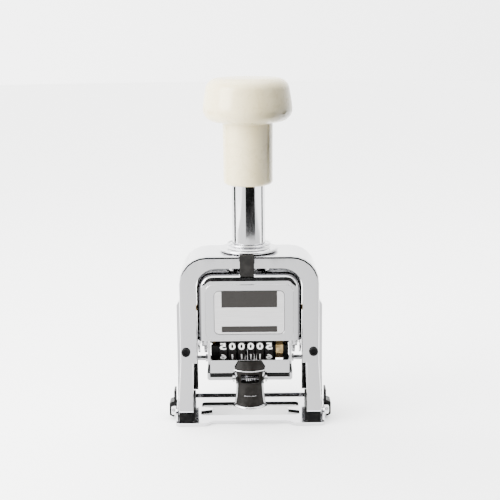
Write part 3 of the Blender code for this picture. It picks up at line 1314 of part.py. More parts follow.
def make_cam_plate(side, name, material):
    """Plate in a leg with the slot that swings the tray, and a tab for its screw."""
    edges = sorted((side * CAM_INNER_X, side * (CAM_INNER_X + CAM_SHEET)))
    outline = rounded([
        (CAM_BACK, CAM_TOP, CAM_CORNER), (CAM_FRONT, CAM_TOP, 0), (CAM_FRONT, CAM_BOTTOM, 0),
        (CAM_HEEL_Y, CAM_BOTTOM, CAM_CORNER), (CAM_BACK, CAM_HEEL_Z, CAM_CORNER)])
    plate = prism(name, "YZ", outline, *edges, material)
    cut(plate, prism(f"{name} slot", "YZ", slot_outline(
        follower_path(), FOLLOWER_RADIUS + GAP), edges[0] - OVERRUN, edges[1] + OVERRUN))
    tab = rectangle(*sorted((side * (CAM_INNER_X + CAM_SHEET / 2),
                             side * (CASING_HALF_WIDTH - CASING_WALL - GAP))),
                    CAM_SCREW_Z - CAM_TAB_HALF_HEIGHT, CAM_SCREW_Z + CAM_TAB_HALF_HEIGHT)
    front = CASING_FRONT + CASING_WALL + GAP
    add(plate, prism(f"{name} tab", "XZ", tab, front, front + CAM_SHEET))
    cut(plate, screw_hole(side, front - OVERRUN / 4, front + CAM_SHEET + OVERRUN))
    return plate


def make_cam_screw(side, name, material):
    """Black socket screw through the casing's front into a cam plate's tab."""
    screw = turned(name, [
        (SOCKET_RADIUS, SCREW_HEAD_HEIGHT - SOCKET_DEPTH),
        (SOCKET_RADIUS, SCREW_HEAD_HEIGHT),
        (SCREW_HEAD_RADIUS - SCREW_HEAD_HEIGHT / 3, SCREW_HEAD_HEIGHT),
        (SCREW_HEAD_RADIUS, SCREW_HEAD_HEIGHT / 2), (SCREW_HEAD_RADIUS, 0),
        (SCREW_RADIUS, 0), (SCREW_RADIUS, -SCREW_LENGTH)], material, steps=PIN_STEPS)
    screw.rotation_euler = (math.pi / 2, 0, 0)
    screw.location = (side * CAM_SCREW_X, CASING_FRONT - GAP, CAM_SCREW_Z)
    return screw


def make_catch_lever(material):
    """Pressed catch lever: a bulging sheet with a window for its spring."""
    height = CATCH_TOP - CATCH_BOTTOM
    shape = bmesh.new()
    skins = []
    for offset in (0, CATCH_SHEET):
        rows = []
        for height_share, width_share, lean_share, bulge_share in CATCH_LEVEL_SHARES:
            middle = CATCH_TOP_Y - CATCH_LEAN * lean_share
            row = []
            for step in range(CATCH_ACROSS_STEPS + 1):
                across = 2 * step / CATCH_ACROSS_STEPS - 1
                row.append(shape.verts.new((
                    CATCH_HALF_WIDTH * width_share * across,
                    middle + CATCH_SAGITTA * bulge_share * across ** 2 + offset,
                    CATCH_BOTTOM + height * height_share)))
            rows.append(row)
        skins.append(rows)
    levels = len(CATCH_LEVEL_SHARES)
    for rows in skins:
        for level in range(levels - 1):
            for step in range(CATCH_ACROSS_STEPS):
                shape.faces.new((rows[level][step], rows[level][step + 1],
                                 rows[level + 1][step + 1], rows[level + 1][step]))
    front, back = skins
    for level in (0, levels - 1):
        for step in range(CATCH_ACROSS_STEPS):
            shape.faces.new((front[level][step], front[level][step + 1],
                             back[level][step + 1], back[level][step]))
    for step in (0, CATCH_ACROSS_STEPS):
        for level in range(levels - 1):
            shape.faces.new((front[level][step], front[level + 1][step],
                             back[level + 1][step], back[level][step]))
    lever = add_object("catch_lever", finish_mesh("catch_lever", shape), material)
    for side in (-1, 1):
        flange = arc(CATCH_Y, CATCH_Z, LUG_RADIUS, -math.pi / 2, math.pi / 2, ARM_STEPS)
        flange += [(CATCH_Y - CATCH_FLANGE_REACH, CATCH_Z + LUG_RADIUS),
                   (CATCH_Y - CATCH_FLANGE_REACH, CATCH_Z - LUG_RADIUS)]
        add(lever, prism(f"catch flange {side}", "YZ", flange, *sorted(
            (side * (CATCH_FLANGE_OUTER_X - CATCH_SHEET), side * CATCH_FLANGE_OUTER_X))))
    cut(lever, prism("catch window", "XZ", rectangle(
        -CATCH_WINDOW_HALF_WIDTH, CATCH_WINDOW_HALF_WIDTH, CATCH_WINDOW_BOTTOM,
        CATCH_WINDOW_TOP), CATCH_TOP_Y - CATCH_LEAN - OVERRUN, CATCH_Y + OVERRUN))
    cut(lever, x_hole("catch bores", CATCH_Y, CATCH_Z, CATCH_PIN_RADIUS + GAP,
                      CATCH_FLANGE_OUTER_X + OVERRUN))
    set_origin(lever, CATCH_Y, CATCH_Z)
    return lever


def make_catch_pin(material):
    """Hinge pin of the catch lever, in the tray's lugs."""
    half = LUG_INNER_X + LUG_SHEET + GAP
    pin = cross_pin("catch_pin", CATCH_Y, CATCH_Z, [(-half, CATCH_PIN_RADIUS),
                                                    (half, CATCH_PIN_RADIUS)], material)
    set_origin(pin, AXLE_Y, SWING_Z)
    return pin


def make_catch_spring(material):
    """Small coil spring round the catch pin, seen through the lever's window."""
    points = coil_points(COIL_MEAN_RADIUS, COIL_PITCH, COIL_CURLS, COIL_POINTS_PER_CURL)
    print(f"catch_spring: least gap {least_gap(points, COIL_WIRE_RADIUS, 7) * 1000:.2f} mm")
    wire = make_wire("catch_spring", points, COIL_WIRE_RADIUS, material)
    wire.rotation_euler = (0, math.pi / 2, 0)
    wire.location = (-COIL_PITCH * COIL_CURLS / 2, CATCH_Y, CATCH_Z)
    return wire


def main():
    for thing in list(bpy.data.objects):
        bpy.data.objects.remove(thing)
    chrome = shiny("chrome", (0.80, 0.81, 0.83), 1.0, 0.12)
    steel = shiny("steel", (0.55, 0.56, 0.58), 1.0, 0.35)
    brass = shiny("brass", (0.70, 0.55, 0.28), 1.0, 0.30)
    black = shiny("black", (0.02, 0.02, 0.02), 0.0, 0.45)
    dark = shiny("dark grey", (0.09, 0.085, 0.08), 0.6, 0.35)
    rubber = shiny("rubber", (0.015, 0.015, 0.015), 0.0, 0.8)
    ivory = shiny("ivory plastic", (0.86, 0.82, 0.70), 0.0, 0.35)
    felt = shiny("ink felt", (0.03, 0.03, 0.05), 0.0, 0.95)
    wheel_metal = shiny("wheel metal", (0.12, 0.12, 0.13), 0.8, 0.35)
    label = shiny("label", (0.62, 0.62, 0.63), 0.9, 0.35)
    make_casing(chrome)
    make_base(chrome)
    make_collar(chrome)
    make_collar_ring(steel)
    make_stop(dark)
    make_stem(chrome)
    make_stem_nut(steel)
    make_handle(ivory)
    make_bracket(steel)
    make_cover(chrome)
    make_nameplate(label)
    make_back_plate(chrome)
    make_axle(steel)
    for index in range(WHEEL_COUNT):
        make_number_wheel(index, wheel_metal)
    make_repeat_wheel(brass)
    make_yoke(brass)
    make_pawl(steel)
    make_detent_bar(steel)
    make_detents(brass)
    make_tray(chrome)
    make_pad_case(black)
    make_pad(felt)
    make_keeper(chrome)
    make_catch_lever(dark)
    make_catch_pin(steel)
    make_catch_spring(steel)
    for side, word in ((-1, "left"), (1, "right")):
        make_foot(side, f"rubber_foot_{word}", rubber)
        make_latch(side, f"latch_{word}", black)
        make_latch_pin(side, f"latch_pin_{word}", steel)
        make_axle_nut(side, f"axle_nut_{word}", steel)
        make_pivot(side, f"tray_pivot_{word}", steel)
        make_follower(side, f"follower_pin_{word}", steel)
        make_shoe(side, f"guide_shoe_{word}", brass)
        make_spring(side, f"return_spring_{word}", steel)
        make_cam_plate(side, f"cam_plate_{word}", steel)
        make_cam_screw(side, f"cam_screw_{word}", black)
    stand_on_origin()


def stand_on_origin():
    """Hang everything on an empty, so that the origin is under the middle of the part."""
    pieces = list(bpy.data.objects)
    root = bpy.data.objects.new("machine_origin", None)
    bpy.context.collection.objects.link(root)
    root.location.y = (HEAD_RADIUS - BASE_BACK) / 2
    for piece in pieces:
        piece.parent = root


main()
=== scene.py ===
"""Numbering machine in a pale studio: smooth chrome shells, an ivory handle, raised
figures on the wheels and printed bands on the label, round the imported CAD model.
Lengths are in metres and angles in degrees.
"""

import json
import math

import bmesh
import bpy
from mathutils import Matrix, Vector


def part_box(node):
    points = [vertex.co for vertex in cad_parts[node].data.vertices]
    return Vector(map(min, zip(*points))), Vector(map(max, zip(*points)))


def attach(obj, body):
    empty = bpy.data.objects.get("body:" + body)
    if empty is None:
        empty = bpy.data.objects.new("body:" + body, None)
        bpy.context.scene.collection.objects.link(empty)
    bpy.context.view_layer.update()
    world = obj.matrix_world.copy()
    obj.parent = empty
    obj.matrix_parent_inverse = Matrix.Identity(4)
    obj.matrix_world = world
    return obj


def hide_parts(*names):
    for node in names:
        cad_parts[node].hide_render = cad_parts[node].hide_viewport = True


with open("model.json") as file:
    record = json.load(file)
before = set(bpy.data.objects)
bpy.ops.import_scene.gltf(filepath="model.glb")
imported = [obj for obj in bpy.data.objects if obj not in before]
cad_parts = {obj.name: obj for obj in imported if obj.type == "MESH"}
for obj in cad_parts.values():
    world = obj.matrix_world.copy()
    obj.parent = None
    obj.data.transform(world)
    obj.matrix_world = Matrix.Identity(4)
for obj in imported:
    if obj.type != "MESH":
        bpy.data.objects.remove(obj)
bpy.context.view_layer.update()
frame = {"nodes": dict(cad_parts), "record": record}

# Camera of the photograph
CAMERA_PLACE = (0.00056, -0.53555, 0.190)
CAMERA_PITCH = 11.45
CAMERA_ROLL = 0.5
CAMERA_LENS = 82.6
SENSOR_WIDTH = 36.0

# Merging of points and faces, and the angles above which an edge is broken or stays sharp
WELD = 0.000001
COPY_WELD = 0.000002
FLAT_WITHIN = 0.6
BROKEN_EDGE_ANGLE = 32.0
COPY_SMOOTH_ANGLE = 38.0
PIECE_SMOOTH_ANGLE = 40.0
TURNED_SMOOTH_ANGLE = 30.0
TURNED_STEPS = 128

# Broken edges of the copied CAD nodes
SHELL_EDGE = 0.0002
SHEET_EDGE = 0.00015
COLLAR_EDGE = 0.0001
LABEL_EDGE = 0.00006
STOP_EDGE = 0.0003
RUBBER_EDGE = 0.0003

# Handle, as points (radius, height) and arcs (centre, radius, first angle, last angle, steps)
STEM_Y = -0.0027
HANDLE_BORE = ((0.0081, 0.1176), (0.0081, 0.1138), (0.0085, 0.1136))
HANDLE_FOOT_ARC = ((0.0096, 0.1155), 0.0019, -90.0, 0.0, 8)
HANDLE_SLEEVE = ((0.01155, 0.1294), (0.01165, 0.1414))
HANDLE_NECK_ARC = ((0.01285, 0.1417), 0.0012, 180.0, 90.0, 6)
HANDLE_UNDER_ARC = ((0.0148, 0.1489), 0.0060, -90.0, 0.0, 14)
HANDLE_SIDE = ((0.02055, 0.1514), (0.02005, 0.1547))
HANDLE_SHOULDER_ARC = ((0.0135, 0.15695), 0.0061, 4.0, 84.0, 14)
HANDLE_CROWN = ((0.0090, 0.16335), (0.0045, 0.16355), (0.0, 0.1636))
HANDLE_STEPS = 144
HANDLE_SMOOTH_ANGLE = 60.0

# Stem
STEM_RADIUS = 0.0078
STEM_NECK_RADIUS = 0.0040
STEM_NECK_BOTTOM = 0.0650
STEM_SHOULDER = 0.0727
STEM_TOP = 0.1358
STEM_NECK_CHAMFER = 0.0004
STEM_SHOULDER_CHAMFER = 0.0003
STEM_TOP_CHAMFER = 0.0008
STEM_STEPS = 144

# Rolled edges of the collar: name, radius, height and bead
COLLAR_RIMS = (("collar_rim", 0.01325, 0.0830, 0.00062),
               ("boss_rim", 0.0099, 0.0854, 0.00045))
COLLAR_RIM_STEPS = 16

# Printed bands on the label: name, bottom and top
LABEL_BANDS = (("label_band_upper", 0.0577, 0.0656),
               ("label_band_lower", 0.0458, 0.0487))
BAND_HALF_WIDTH = 0.0130
BAND_THICKNESS = 0.00006
BAND_STAND = 0.00002
BAND_EDGE = 0.00001

# Number wheels: their axle, and how far the type pads stand from it
WHEEL_COUNT = 6
AXLE_Y = 0.0023
AXLE_Z = 0.0365
PAD_REACH = 0.01104
WHEEL_FACES = 12
RATCHET_WIDTH = 0.0007

# Figures on the wheels
FIRST_FIGURES = (5, 0, 0, 0, 0, 5)
LAST_FIGURE = 9
FIGURE_SIZE = 0.0044
FIGURE_WIDTH = 0.0030
FIGURE_MIDDLE = 0.0016
FIGURE_STAND = 0.00001
FIGURE_RELIEF = 0.00003
FIGURE_ROUND = 0.00003
FIGURE_THICKENING = 0.00010
FIGURE_RESOLUTION = 5

# Washers between the wheels, and the apron behind them, both black as painted shade
AXLE_HOLE = 0.0017
WASHER_RADIUS = 0.0098
WASHER_RIM = 0.0074
WASHER_WEB = 0.0003
WASHER_GAP = 0.00008
WASHER_STEPS = 32
BAY_HALF_WIDTH = 0.0186
APRON_LOW = (-0.0188, 0.0153, 0.0285)
APRON_HIGH = (0.0188, 0.0159, 0.0405)
APRON_EDGE = 0.0001

# Faces of the casing and the base that take a dark material as painted shade
LEG_WALL_X = 0.020
LEG_WALL_TOP = 0.0310
LEG_WALL_FACING = 0.9
WINDOW_FRONT_Y = -0.0080
WINDOW_BACK_Y = 0.0130
WINDOW_EDGE_FACING = 0.5

# Front of the catch lever
LEVER_TOP = 0.0310
LEVER_BOTTOM = 0.0096
LEVER_FRONT_Y = -0.0163
LEVER_LEAN = 0.0050
LEVER_BULGE = 0.0047
LEVER_HALF_WIDTH = 0.0075
# Height, half-width, lean and bulge of the lever at each level, as shares of its own
LEVER_SHARES = ((1.00, 0.69, 0.00, 0.17), (0.81, 0.98, 0.42, 0.47), (0.70, 0.90, 0.54, 0.55),
                (0.49, 0.84, 0.66, 0.64), (0.27, 0.88, 0.74, 0.72), (0.09, 0.97, 0.84, 0.89),
                (0.00, 1.00, 1.00, 1.00))

# Trim of the catch lever: its height, its rise at the sides, its stand-off and its bead
RIM_STEPS = 20
HEAD_RIM_HEIGHT = 0.0268
HEAD_RIM_RISE = 0.0003
HEAD_RIM_STAND = 0.0001
HEAD_RIM_BEAD = 0.00030
FOOT_RIM_LIFT = 0.0001
FOOT_RIM_RISE = 0.0004
FOOT_RIM_STAND = 0.0002
FOOT_RIM_BEAD = 0.00075
CREASE_HEIGHT = 0.0153
CREASE_SHARE = 0.42
CREASE_STAND = -0.00003
CREASE_BEAD = 0.00010
SIDE_RIM_TOP = 0.0262
SIDE_RIM_BOTTOM = 0.0112
SIDE_RIM_SHARE = 0.93
SIDE_RIM_STAND = 0.0002
SIDE_RIM_BEAD = 0.00050

# Black pad behind the lever's window, as painted shade
WINDOW_PAD_LOW = (-0.0055, -0.0135, 0.0185)
WINDOW_PAD_HIGH = (0.0055, -0.01335, 0.0247)
WINDOW_PAD_EDGE = 0.00003

# Brightness of the sky, and the floor
SKY_LEFT = 7.5
SKY_RIGHT = 2.5
FLOOR_RADIUS = 3.0
FLOOR_SEGMENTS = 96
FLOOR_DROP = 0.0002
# Lights: name, place, aim, size and power in watts
LAMPS = (("key_light", (-0.50, -0.30, 0.35), (0.0, 0.0, 0.12), (0.4, 0.4), 9.0),
         ("fill_light", (0.50, -0.40, 0.45), (0.0, 0.0, 0.08), (0.3, 0.6), 0.8),
         ("top_light", (0.0, 0.10, 0.75), (0.0, 0.0, 0.08), (0.7, 0.5), 6.0))

# Cards that the chrome reflects, with their brightness
FRONT_CARD_CENTRE = (0.0, -0.95, 0.50)
FRONT_CARD_SIZE = (2.2, 0.96)
FRONT_CARD_GLOW = 0.03
# Bent cards: name, brightness, radius, first angle, last angle, bottom and top
BENT_CARDS = (("stem_flag", 0.01, 0.30, -20.0, 46.0, 0.034, 0.085),
              ("left_flag", 0.02, 0.30, -120.0, -97.0, 0.02, 0.12),
              ("right_flag", 0.02, 0.30, 100.0, 118.0, 0.02, 0.12))
BENT_CARD_STEPS = 16
# Low card in front: left, right, front, back and height
FLOOR_CARD = (-0.5, 0.5, -0.9, -0.03, 0.0006)
FLOOR_CARD_LEFT = 2.5
FLOOR_CARD_RIGHT = 1.85
CARD_FADE = 0.12
# Shade at the right: radius, first angle, last angle, bottom, top and radius at the bottom
RIGHT_SHADE = (0.11, -2.0, 112.0, 0.100, 0.27, 0.026)


# Materials

class Finish:
    """A node material under construction, with its pattern on Object coordinates."""

    def __init__(self, name, colour, metallic, roughness):
        self.material = bpy.data.materials.new(name)
        self.material.use_nodes = True
        self.nodes = self.material.node_tree.nodes
        self.links = self.material.node_tree.links
        self.shader = self.nodes["Principled BSDF"]
        self.shader.inputs["Metallic"].default_value = metallic
        self.shader.inputs["Base Color"].default_value = (*colour, 1.0)
        self.shader.inputs["Roughness"].default_value = roughness
        self.place = self.nodes.new("ShaderNodeTexCoord").outputs["Object"]

    def stretch(self, scale):
        """The place, stretched so that a pattern runs along one axis."""
        mapping = self.nodes.new("ShaderNodeMapping")
        mapping.inputs["Scale"].default_value = scale
        self.links.new(self.place, mapping.inputs["Vector"])
        return mapping.outputs["Vector"]

    def noise(self, scale, detail, place=None):
        texture = self.nodes.new("ShaderNodeTexNoise")
        texture.inputs["Scale"].default_value = scale
        texture.inputs["Detail"].default_value = detail
        self.links.new(place or self.place, texture.inputs["Vector"])
        return texture.outputs["Fac"]

    def band(self, value, low, high, from_low=0.35, from_high=0.65):
        """A value spread between two others."""
        spread = self.nodes.new("ShaderNodeMapRange")
        for socket, number in (("From Min", from_low), ("From Max", from_high),
                               ("To Min", low), ("To Max", high)):
            spread.inputs[socket].default_value = number
        self.links.new(value, spread.inputs["Value"])
        return spread.outputs["Result"]

    def vary_roughness(self, value, low, high):
        self.links.new(self.band(value, low, high), self.shader.inputs["Roughness"])

    def vary_colour(self, value, first, second, from_low=0.35, from_high=0.65):
        mix = self.nodes.new("ShaderNodeMix")
        mix.data_type = "RGBA"
        mix.inputs["A"].default_value = (*first, 1.0)
        mix.inputs["B"].default_value = (*second, 1.0)
        self.links.new(self.band(value, 0.0, 1.0, from_low, from_high), mix.inputs["Factor"])
        self.links.new(mix.outputs["Result"], self.shader.inputs["Base Color"])

    def bump(self, value, strength, distance):
        node = self.nodes.new("ShaderNodeBump")
        node.inputs["Strength"].default_value = strength
        node.inputs["Distance"].default_value = distance
        self.links.new(value, node.inputs["Height"])
        self.links.new(node.outputs["Normal"], self.shader.inputs["Normal"])

    def shine(self, level):
        """How strongly a surface that isn't metal mirrors its surroundings."""
        self.shader.inputs["Specular IOR Level"].default_value = level

    def coat(self, weight, roughness):
        self.shader.inputs["Coat Weight"].default_value = weight
        self.shader.inputs["Coat Roughness"].default_value = roughness


def chrome_finish(name, colour, low, high):
    """Bright plate over pressed sheet: faint waviness and a few soft wipe marks."""
    finish = Finish(name, colour, metallic=1.0, roughness=low)
    wipes = finish.noise(scale=240.0, detail=5.0, place=finish.stretch((1.0, 1.0, 0.25)))
    finish.vary_roughness(wipes, low, high)
    finish.bump(finish.noise(scale=90.0, detail=2.0), strength=0.05, distance=0.0004)
    return finish.material


def steel_finish(name, colour, along):
    """Plain steel with drawing marks along one axis."""
    finish = Finish(name, colour, metallic=1.0, roughness=0.28)
    streaks = finish.noise(scale=1500.0, detail=3.0, place=finish.stretch(along))
    finish.vary_roughness(streaks, low=0.18, high=0.36)
    finish.bump(streaks, strength=0.12, distance=0.00005)
    return finish.material


def brass_finish():
    """Brass with brown tarnish in places."""
    finish = Finish("brass", (0.62, 0.42, 0.18), metallic=1.0, roughness=0.3)
    tarnish = finish.noise(scale=420.0, detail=6.0)
    finish.vary_colour(tarnish, (0.66, 0.47, 0.22), (0.40, 0.27, 0.12), 0.4, 0.75)
    finish.vary_roughness(tarnish, low=0.22, high=0.48)
    finish.bump(finish.noise(scale=2400.0, detail=2.0), strength=0.1, distance=0.00004)
    return finish.material


def wheel_finish():
    """Blackened wheel metal with old ink in it."""
    finish = Finish("wheel_metal", (0.014, 0.013, 0.014), metallic=0.3, roughness=0.45)
    finish.shine(0.3)
    ink = finish.noise(scale=600.0, detail=5.0)
    finish.vary_colour(ink, (0.004, 0.0035, 0.004), (0.016, 0.0145, 0.0135))
    finish.vary_roughness(ink, low=0.32, high=0.6)
    finish.bump(finish.noise(scale=3000.0, detail=2.0), strength=0.15, distance=0.00004)
    return finish.material


def figure_finish():
    """Bare bright faces of the raised figures."""
    finish = Finish("type_face", (0.86, 0.86, 0.85), metallic=0.35, roughness=0.4)
    wear = finish.noise(scale=1800.0, detail=4.0)
    finish.vary_colour(wear, (0.92, 0.92, 0.91), (0.62, 0.61, 0.60), 0.5, 0.8)
    finish.bump(wear, strength=0.1, distance=0.00004)
    return finish.material


def ivory_finish():
    """Glossy ivory moulding, warm and a little cloudy."""
    finish = Finish("ivory_plastic", (0.62, 0.54, 0.325), metallic=0.0, roughness=0.3)
    cloud = finish.noise(scale=45.0, detail=4.0)
    finish.vary_colour(cloud, (0.63, 0.55, 0.335), (0.60, 0.52, 0.31), 0.3, 0.7)
    finish.vary_roughness(finish.noise(scale=300.0, detail=4.0), low=0.24, high=0.34)
    finish.shader.inputs["Subsurface Weight"].default_value = 0.12
    finish.shader.inputs["Subsurface Radius"].default_value = (0.004, 0.003, 0.002)
    finish.shader.inputs["Subsurface Scale"].default_value = 1.0
    finish.coat(weight=0.35, roughness=0.12)
    finish.bump(finish.noise(scale=1400.0, detail=3.0), strength=0.06, distance=0.00006)
    return finish.material


def enamel_finish(name, dark, worn, gloss):
    """Sprayed enamel: orange peel, and rubbed greyer in places."""
    finish = Finish(name, dark, metallic=0.0, roughness=gloss)
    rub = finish.noise(scale=350.0, detail=5.0)
    finish.vary_colour(rub, dark, worn, 0.45, 0.8)
    finish.vary_roughness(rub, low=gloss, high=gloss + 0.22)
    finish.shine(0.1)
    finish.bump(finish.noise(scale=1700.0, detail=2.0), strength=0.12, distance=0.00006)
    return finish.material


def rubber_finish():
    """Black rubber, dusty in places."""
    finish = Finish("rubber", (0.012, 0.012, 0.012), metallic=0.0, roughness=0.55)
    dust = finish.noise(scale=500.0, detail=6.0)
    finish.vary_colour(dust, (0.0012, 0.0012, 0.0012), (0.007, 0.007, 0.006), 0.5, 0.85)
    finish.shine(0.06)
    finish.bump(finish.noise(scale=2600.0, detail=3.0), strength=0.3, distance=0.00008)
    return finish.material


def felt_finish():
    """Felt soaked with dark ink."""
    finish = Finish("felt", (0.03, 0.028, 0.035), metallic=0.0, roughness=0.95)
    fibres = finish.noise(scale=1800.0, detail=6.0, place=finish.stretch((1.0, 0.4, 1.0)))
    finish.vary_colour(fibres, (0.012, 0.011, 0.016), (0.07, 0.062, 0.07))
    finish.shader.inputs["Sheen Weight"].default_value = 0.4
    finish.bump(fibres, strength=0.6, distance=0.0002)
    return finish.material


def label_finish():
    """Thin brushed aluminium."""
    finish = Finish("label_metal", (0.50, 0.50, 0.50), metallic=0.6, roughness=0.36)
    brush = finish.noise(scale=2200.0, detail=3.0, place=finish.stretch((0.04, 1.0, 1.0)))
    finish.vary_colour(brush, (0.52, 0.515, 0.515), (0.46, 0.455, 0.455))
    finish.vary_roughness(brush, low=0.28, high=0.44)
    finish.bump(brush, strength=0.1, distance=0.00003)
    return finish.material


def band_finish():
    """Grey printing ink with a fine tooth."""
    finish = Finish("label_ink", (0.015, 0.0138, 0.0128), metallic=0.0, roughness=0.42)
    finish.shine(0.1)
    tooth = finish.noise(scale=2600.0, detail=4.0)
    finish.vary_colour(tooth, (0.014, 0.0128, 0.0118), (0.018, 0.0168, 0.0158))
    finish.bump(tooth, strength=0.1, distance=0.00002)
    return finish.material


CHROME = chrome_finish("chrome", (0.60, 0.60, 0.61), low=0.05, high=0.13)
STEEL = steel_finish("steel", (0.40, 0.40, 0.41), along=(0.05, 1.0, 1.0))
# Painted shade: dark steel for the casing's leg walls that face each other across the opening
LEG_WALL_SHADE = steel_finish("leg_wall_painted_shade", (0.075, 0.068, 0.058), along=(1.0, 1.0, 0.05))
BRASS = brass_finish()
WHEEL = wheel_finish()
FIGURE = figure_finish()
IVORY = ivory_finish()
BLACK = enamel_finish("black_enamel", (0.001, 0.001, 0.001), (0.006, 0.006, 0.006), gloss=0.28)
DARK = enamel_finish("dark_enamel", (0.0048, 0.0042, 0.0036), (0.012, 0.011, 0.010), gloss=0.34)
STOP = enamel_finish("stop_enamel", (0.007, 0.0066, 0.0062), (0.014, 0.013, 0.012), gloss=0.42)
PLASTIC = enamel_finish("black_plastic", (0.002, 0.002, 0.002), (0.006, 0.006, 0.006), gloss=0.4)
RUBBER = rubber_finish()
FELT = felt_finish()
LABEL = label_finish()
BAND = band_finish()
BY_SLOT = {
    "chrome": CHROME, "steel": STEEL, "brass": BRASS, "wheel_metal": WHEEL,
    "ivory_plastic": IVORY, "black_enamel": BLACK, "dark_enamel": DARK,
    "black_plastic": PLASTIC, "rubber": RUBBER, "felt": FELT, "label": LABEL}
SLOT_OF = {part["node"]: part["material_slot"] for part in frame["record"]["subparts"]}


# Making and placing pieces

def piece_from(name, shape, material, body, smooth=PIECE_SMOOTH_ANGLE):
    """A finished piece from a bmesh, riding on a body."""
    mesh = bpy.data.meshes.new(name)
    shape.to_mesh(mesh)
    shape.free()
    mesh.shade_smooth()
    mesh.set_sharp_from_angle(angle=math.radians(smooth))
    mesh.materials.append(material)
    piece = bpy.data.objects.new(name, mesh)
    bpy.context.collection.objects.link(piece)
    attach(piece, body)
    return piece


def dress(node, material):
    """Give a CAD node its finish."""
    for place in frame["nodes"][node].material_slots:
        place.material = material


def faces_the_middle(face):
    """Walls of the legs that look at each other across the opening, which take painted shade."""
    middle = face.calc_center_median()
    return (abs(middle.x) > LEG_WALL_X and middle.z < LEG_WALL_TOP
            and face.normal.x * middle.x < 0 and abs(face.normal.x) > LEG_WALL_FACING)


def is_cut_edge(face):
    """Edges of the window in the base that look at the front, painted black as shade."""
    return (WINDOW_FRONT_Y < face.calc_center_median().y < WINDOW_BACK_Y
            and face.normal.y < -WINDOW_EDGE_FACING)


def finished_copy(node, body, edge, material=None, shade_material=None, is_shaded=None):
    """A CAD node again with its triangles joined into faces and its edges broken."""
    shape = bmesh.new()
    shape.from_mesh(frame["nodes"][node].data)
    bmesh.ops.remove_doubles(shape, verts=shape.verts, dist=COPY_WELD)
    bmesh.ops.dissolve_limit(shape, angle_limit=math.radians(FLAT_WITHIN), verts=shape.verts,
                             edges=shape.edges, delimit=set())
    sharp = [line for line in shape.edges if line.is_manifold
             and line.calc_face_angle(0.0) > math.radians(BROKEN_EDGE_ANGLE)]
    bmesh.ops.bevel(shape, geom=sharp, offset=edge, offset_type="OFFSET", segments=2,
                    profile=0.5, affect="EDGES", clamp_overlap=True, material=-1)
    # Faces that the mask picks take the second material, which paints shade on them
    if shade_material:
        for face in shape.faces:
            face.material_index = 1 if is_shaded(face) else 0
    slot = SLOT_OF[node]
    piece = piece_from(f"{node}_finished", shape, material or BY_SLOT[slot], body,
                       COPY_SMOOTH_ANGLE)
    if shade_material:
        piece.data.materials.append(shade_material)
    flatten = piece.modifiers.new("even_shading", "WEIGHTED_NORMAL")
    flatten.keep_sharp = True
    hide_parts(node)


def lathe(name, profile, material, body, steps=TURNED_STEPS, smooth=TURNED_SMOOTH_ANGLE):
    """A piece turned about the stem's axis, from (radius, height) pairs."""
    shape = bmesh.new()
    points = [shape.verts.new((radius, 0.0, height)) for radius, height in profile]
    edges = [shape.edges.new(pair) for pair in zip(points, points[1:])]
    bmesh.ops.spin(shape, geom=points + edges, cent=(0.0, 0.0, 0.0), axis=(0.0, 0.0, 1.0),
                   angle=math.tau, steps=steps, use_merge=True)
    bmesh.ops.remove_doubles(shape, verts=shape.verts, dist=WELD)
    bmesh.ops.recalc_face_normals(shape, faces=shape.faces)
    bmesh.ops.translate(shape, verts=shape.verts, vec=(0.0, STEM_Y, 0.0))
    return piece_from(name, shape, material, body, smooth)


def curve_arc(centre, radius, start, end, steps):
    """Points (u, v) of an arc, angles counted from the first axis."""
    return [(centre[0] + radius * math.cos(math.radians(start + (end - start) * step / steps)),
             centre[1] + radius * math.sin(math.radians(start + (end - start) * step / steps)))
            for step in range(steps + 1)]


def wire(name, points, radius, material, body):
    """A bead along a smooth path."""
    data = bpy.data.curves.new(name, "CURVE")
    data.dimensions = "3D"
    data.bevel_depth = radius
    data.bevel_resolution = 3
    data.use_fill_caps = True
    spline = data.splines.new("POLY")
    spline.points.add(len(points) - 1)
    for point, place in zip(spline.points, points):
        point.co = (*place, 1.0)
    data.materials.append(material)
    piece = bpy.data.objects.new(name, data)
    bpy.context.collection.objects.link(piece)
    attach(piece, body)


def plate(name, low, high, edge, material, body):
    """A flat plate with broken edges between two corners."""
    shape = bmesh.new()
    bmesh.ops.create_cube(shape, size=1.0)
    low, high = Vector(low), Vector(high)
    bmesh.ops.scale(shape, verts=shape.verts, vec=high - low)
    bmesh.ops.translate(shape, verts=shape.verts, vec=(low + high) / 2)
    bmesh.ops.bevel(shape, geom=shape.edges, offset=edge, offset_type="OFFSET", segments=2,
                    profile=0.5, affect="EDGES", material=-1)
    piece_from(name, shape, material, body)


# Turned pieces

def make_handle():
    """Sleeve and mushroom head in one moulding."""
    profile = [*HANDLE_BORE, *curve_arc(*HANDLE_FOOT_ARC), *HANDLE_SLEEVE,
               *curve_arc(*HANDLE_NECK_ARC), *curve_arc(*HANDLE_UNDER_ARC), *HANDLE_SIDE,
               *curve_arc(*HANDLE_SHOULDER_ARC), *HANDLE_CROWN]
    piece = lathe("handle_moulding", profile, IVORY, "plunger", HANDLE_STEPS,
                  HANDLE_SMOOTH_ANGLE)
    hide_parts("handle")


def make_stem():
    """The bright bar and the neck below it."""
    profile = [(0.0, STEM_NECK_BOTTOM),
               (STEM_NECK_RADIUS - STEM_NECK_CHAMFER, STEM_NECK_BOTTOM),
               (STEM_NECK_RADIUS, STEM_NECK_BOTTOM + STEM_NECK_CHAMFER),
               (STEM_NECK_RADIUS, STEM_SHOULDER),
               (STEM_RADIUS - STEM_SHOULDER_CHAMFER, STEM_SHOULDER),
               (STEM_RADIUS, STEM_SHOULDER + STEM_SHOULDER_CHAMFER),
               (STEM_RADIUS, STEM_TOP - STEM_TOP_CHAMFER),
               (STEM_RADIUS - STEM_TOP_CHAMFER, STEM_TOP),
               (0.0, STEM_TOP)]
    piece = lathe("stem_bright", profile, CHROME, "plunger", STEM_STEPS)
    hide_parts("stem")


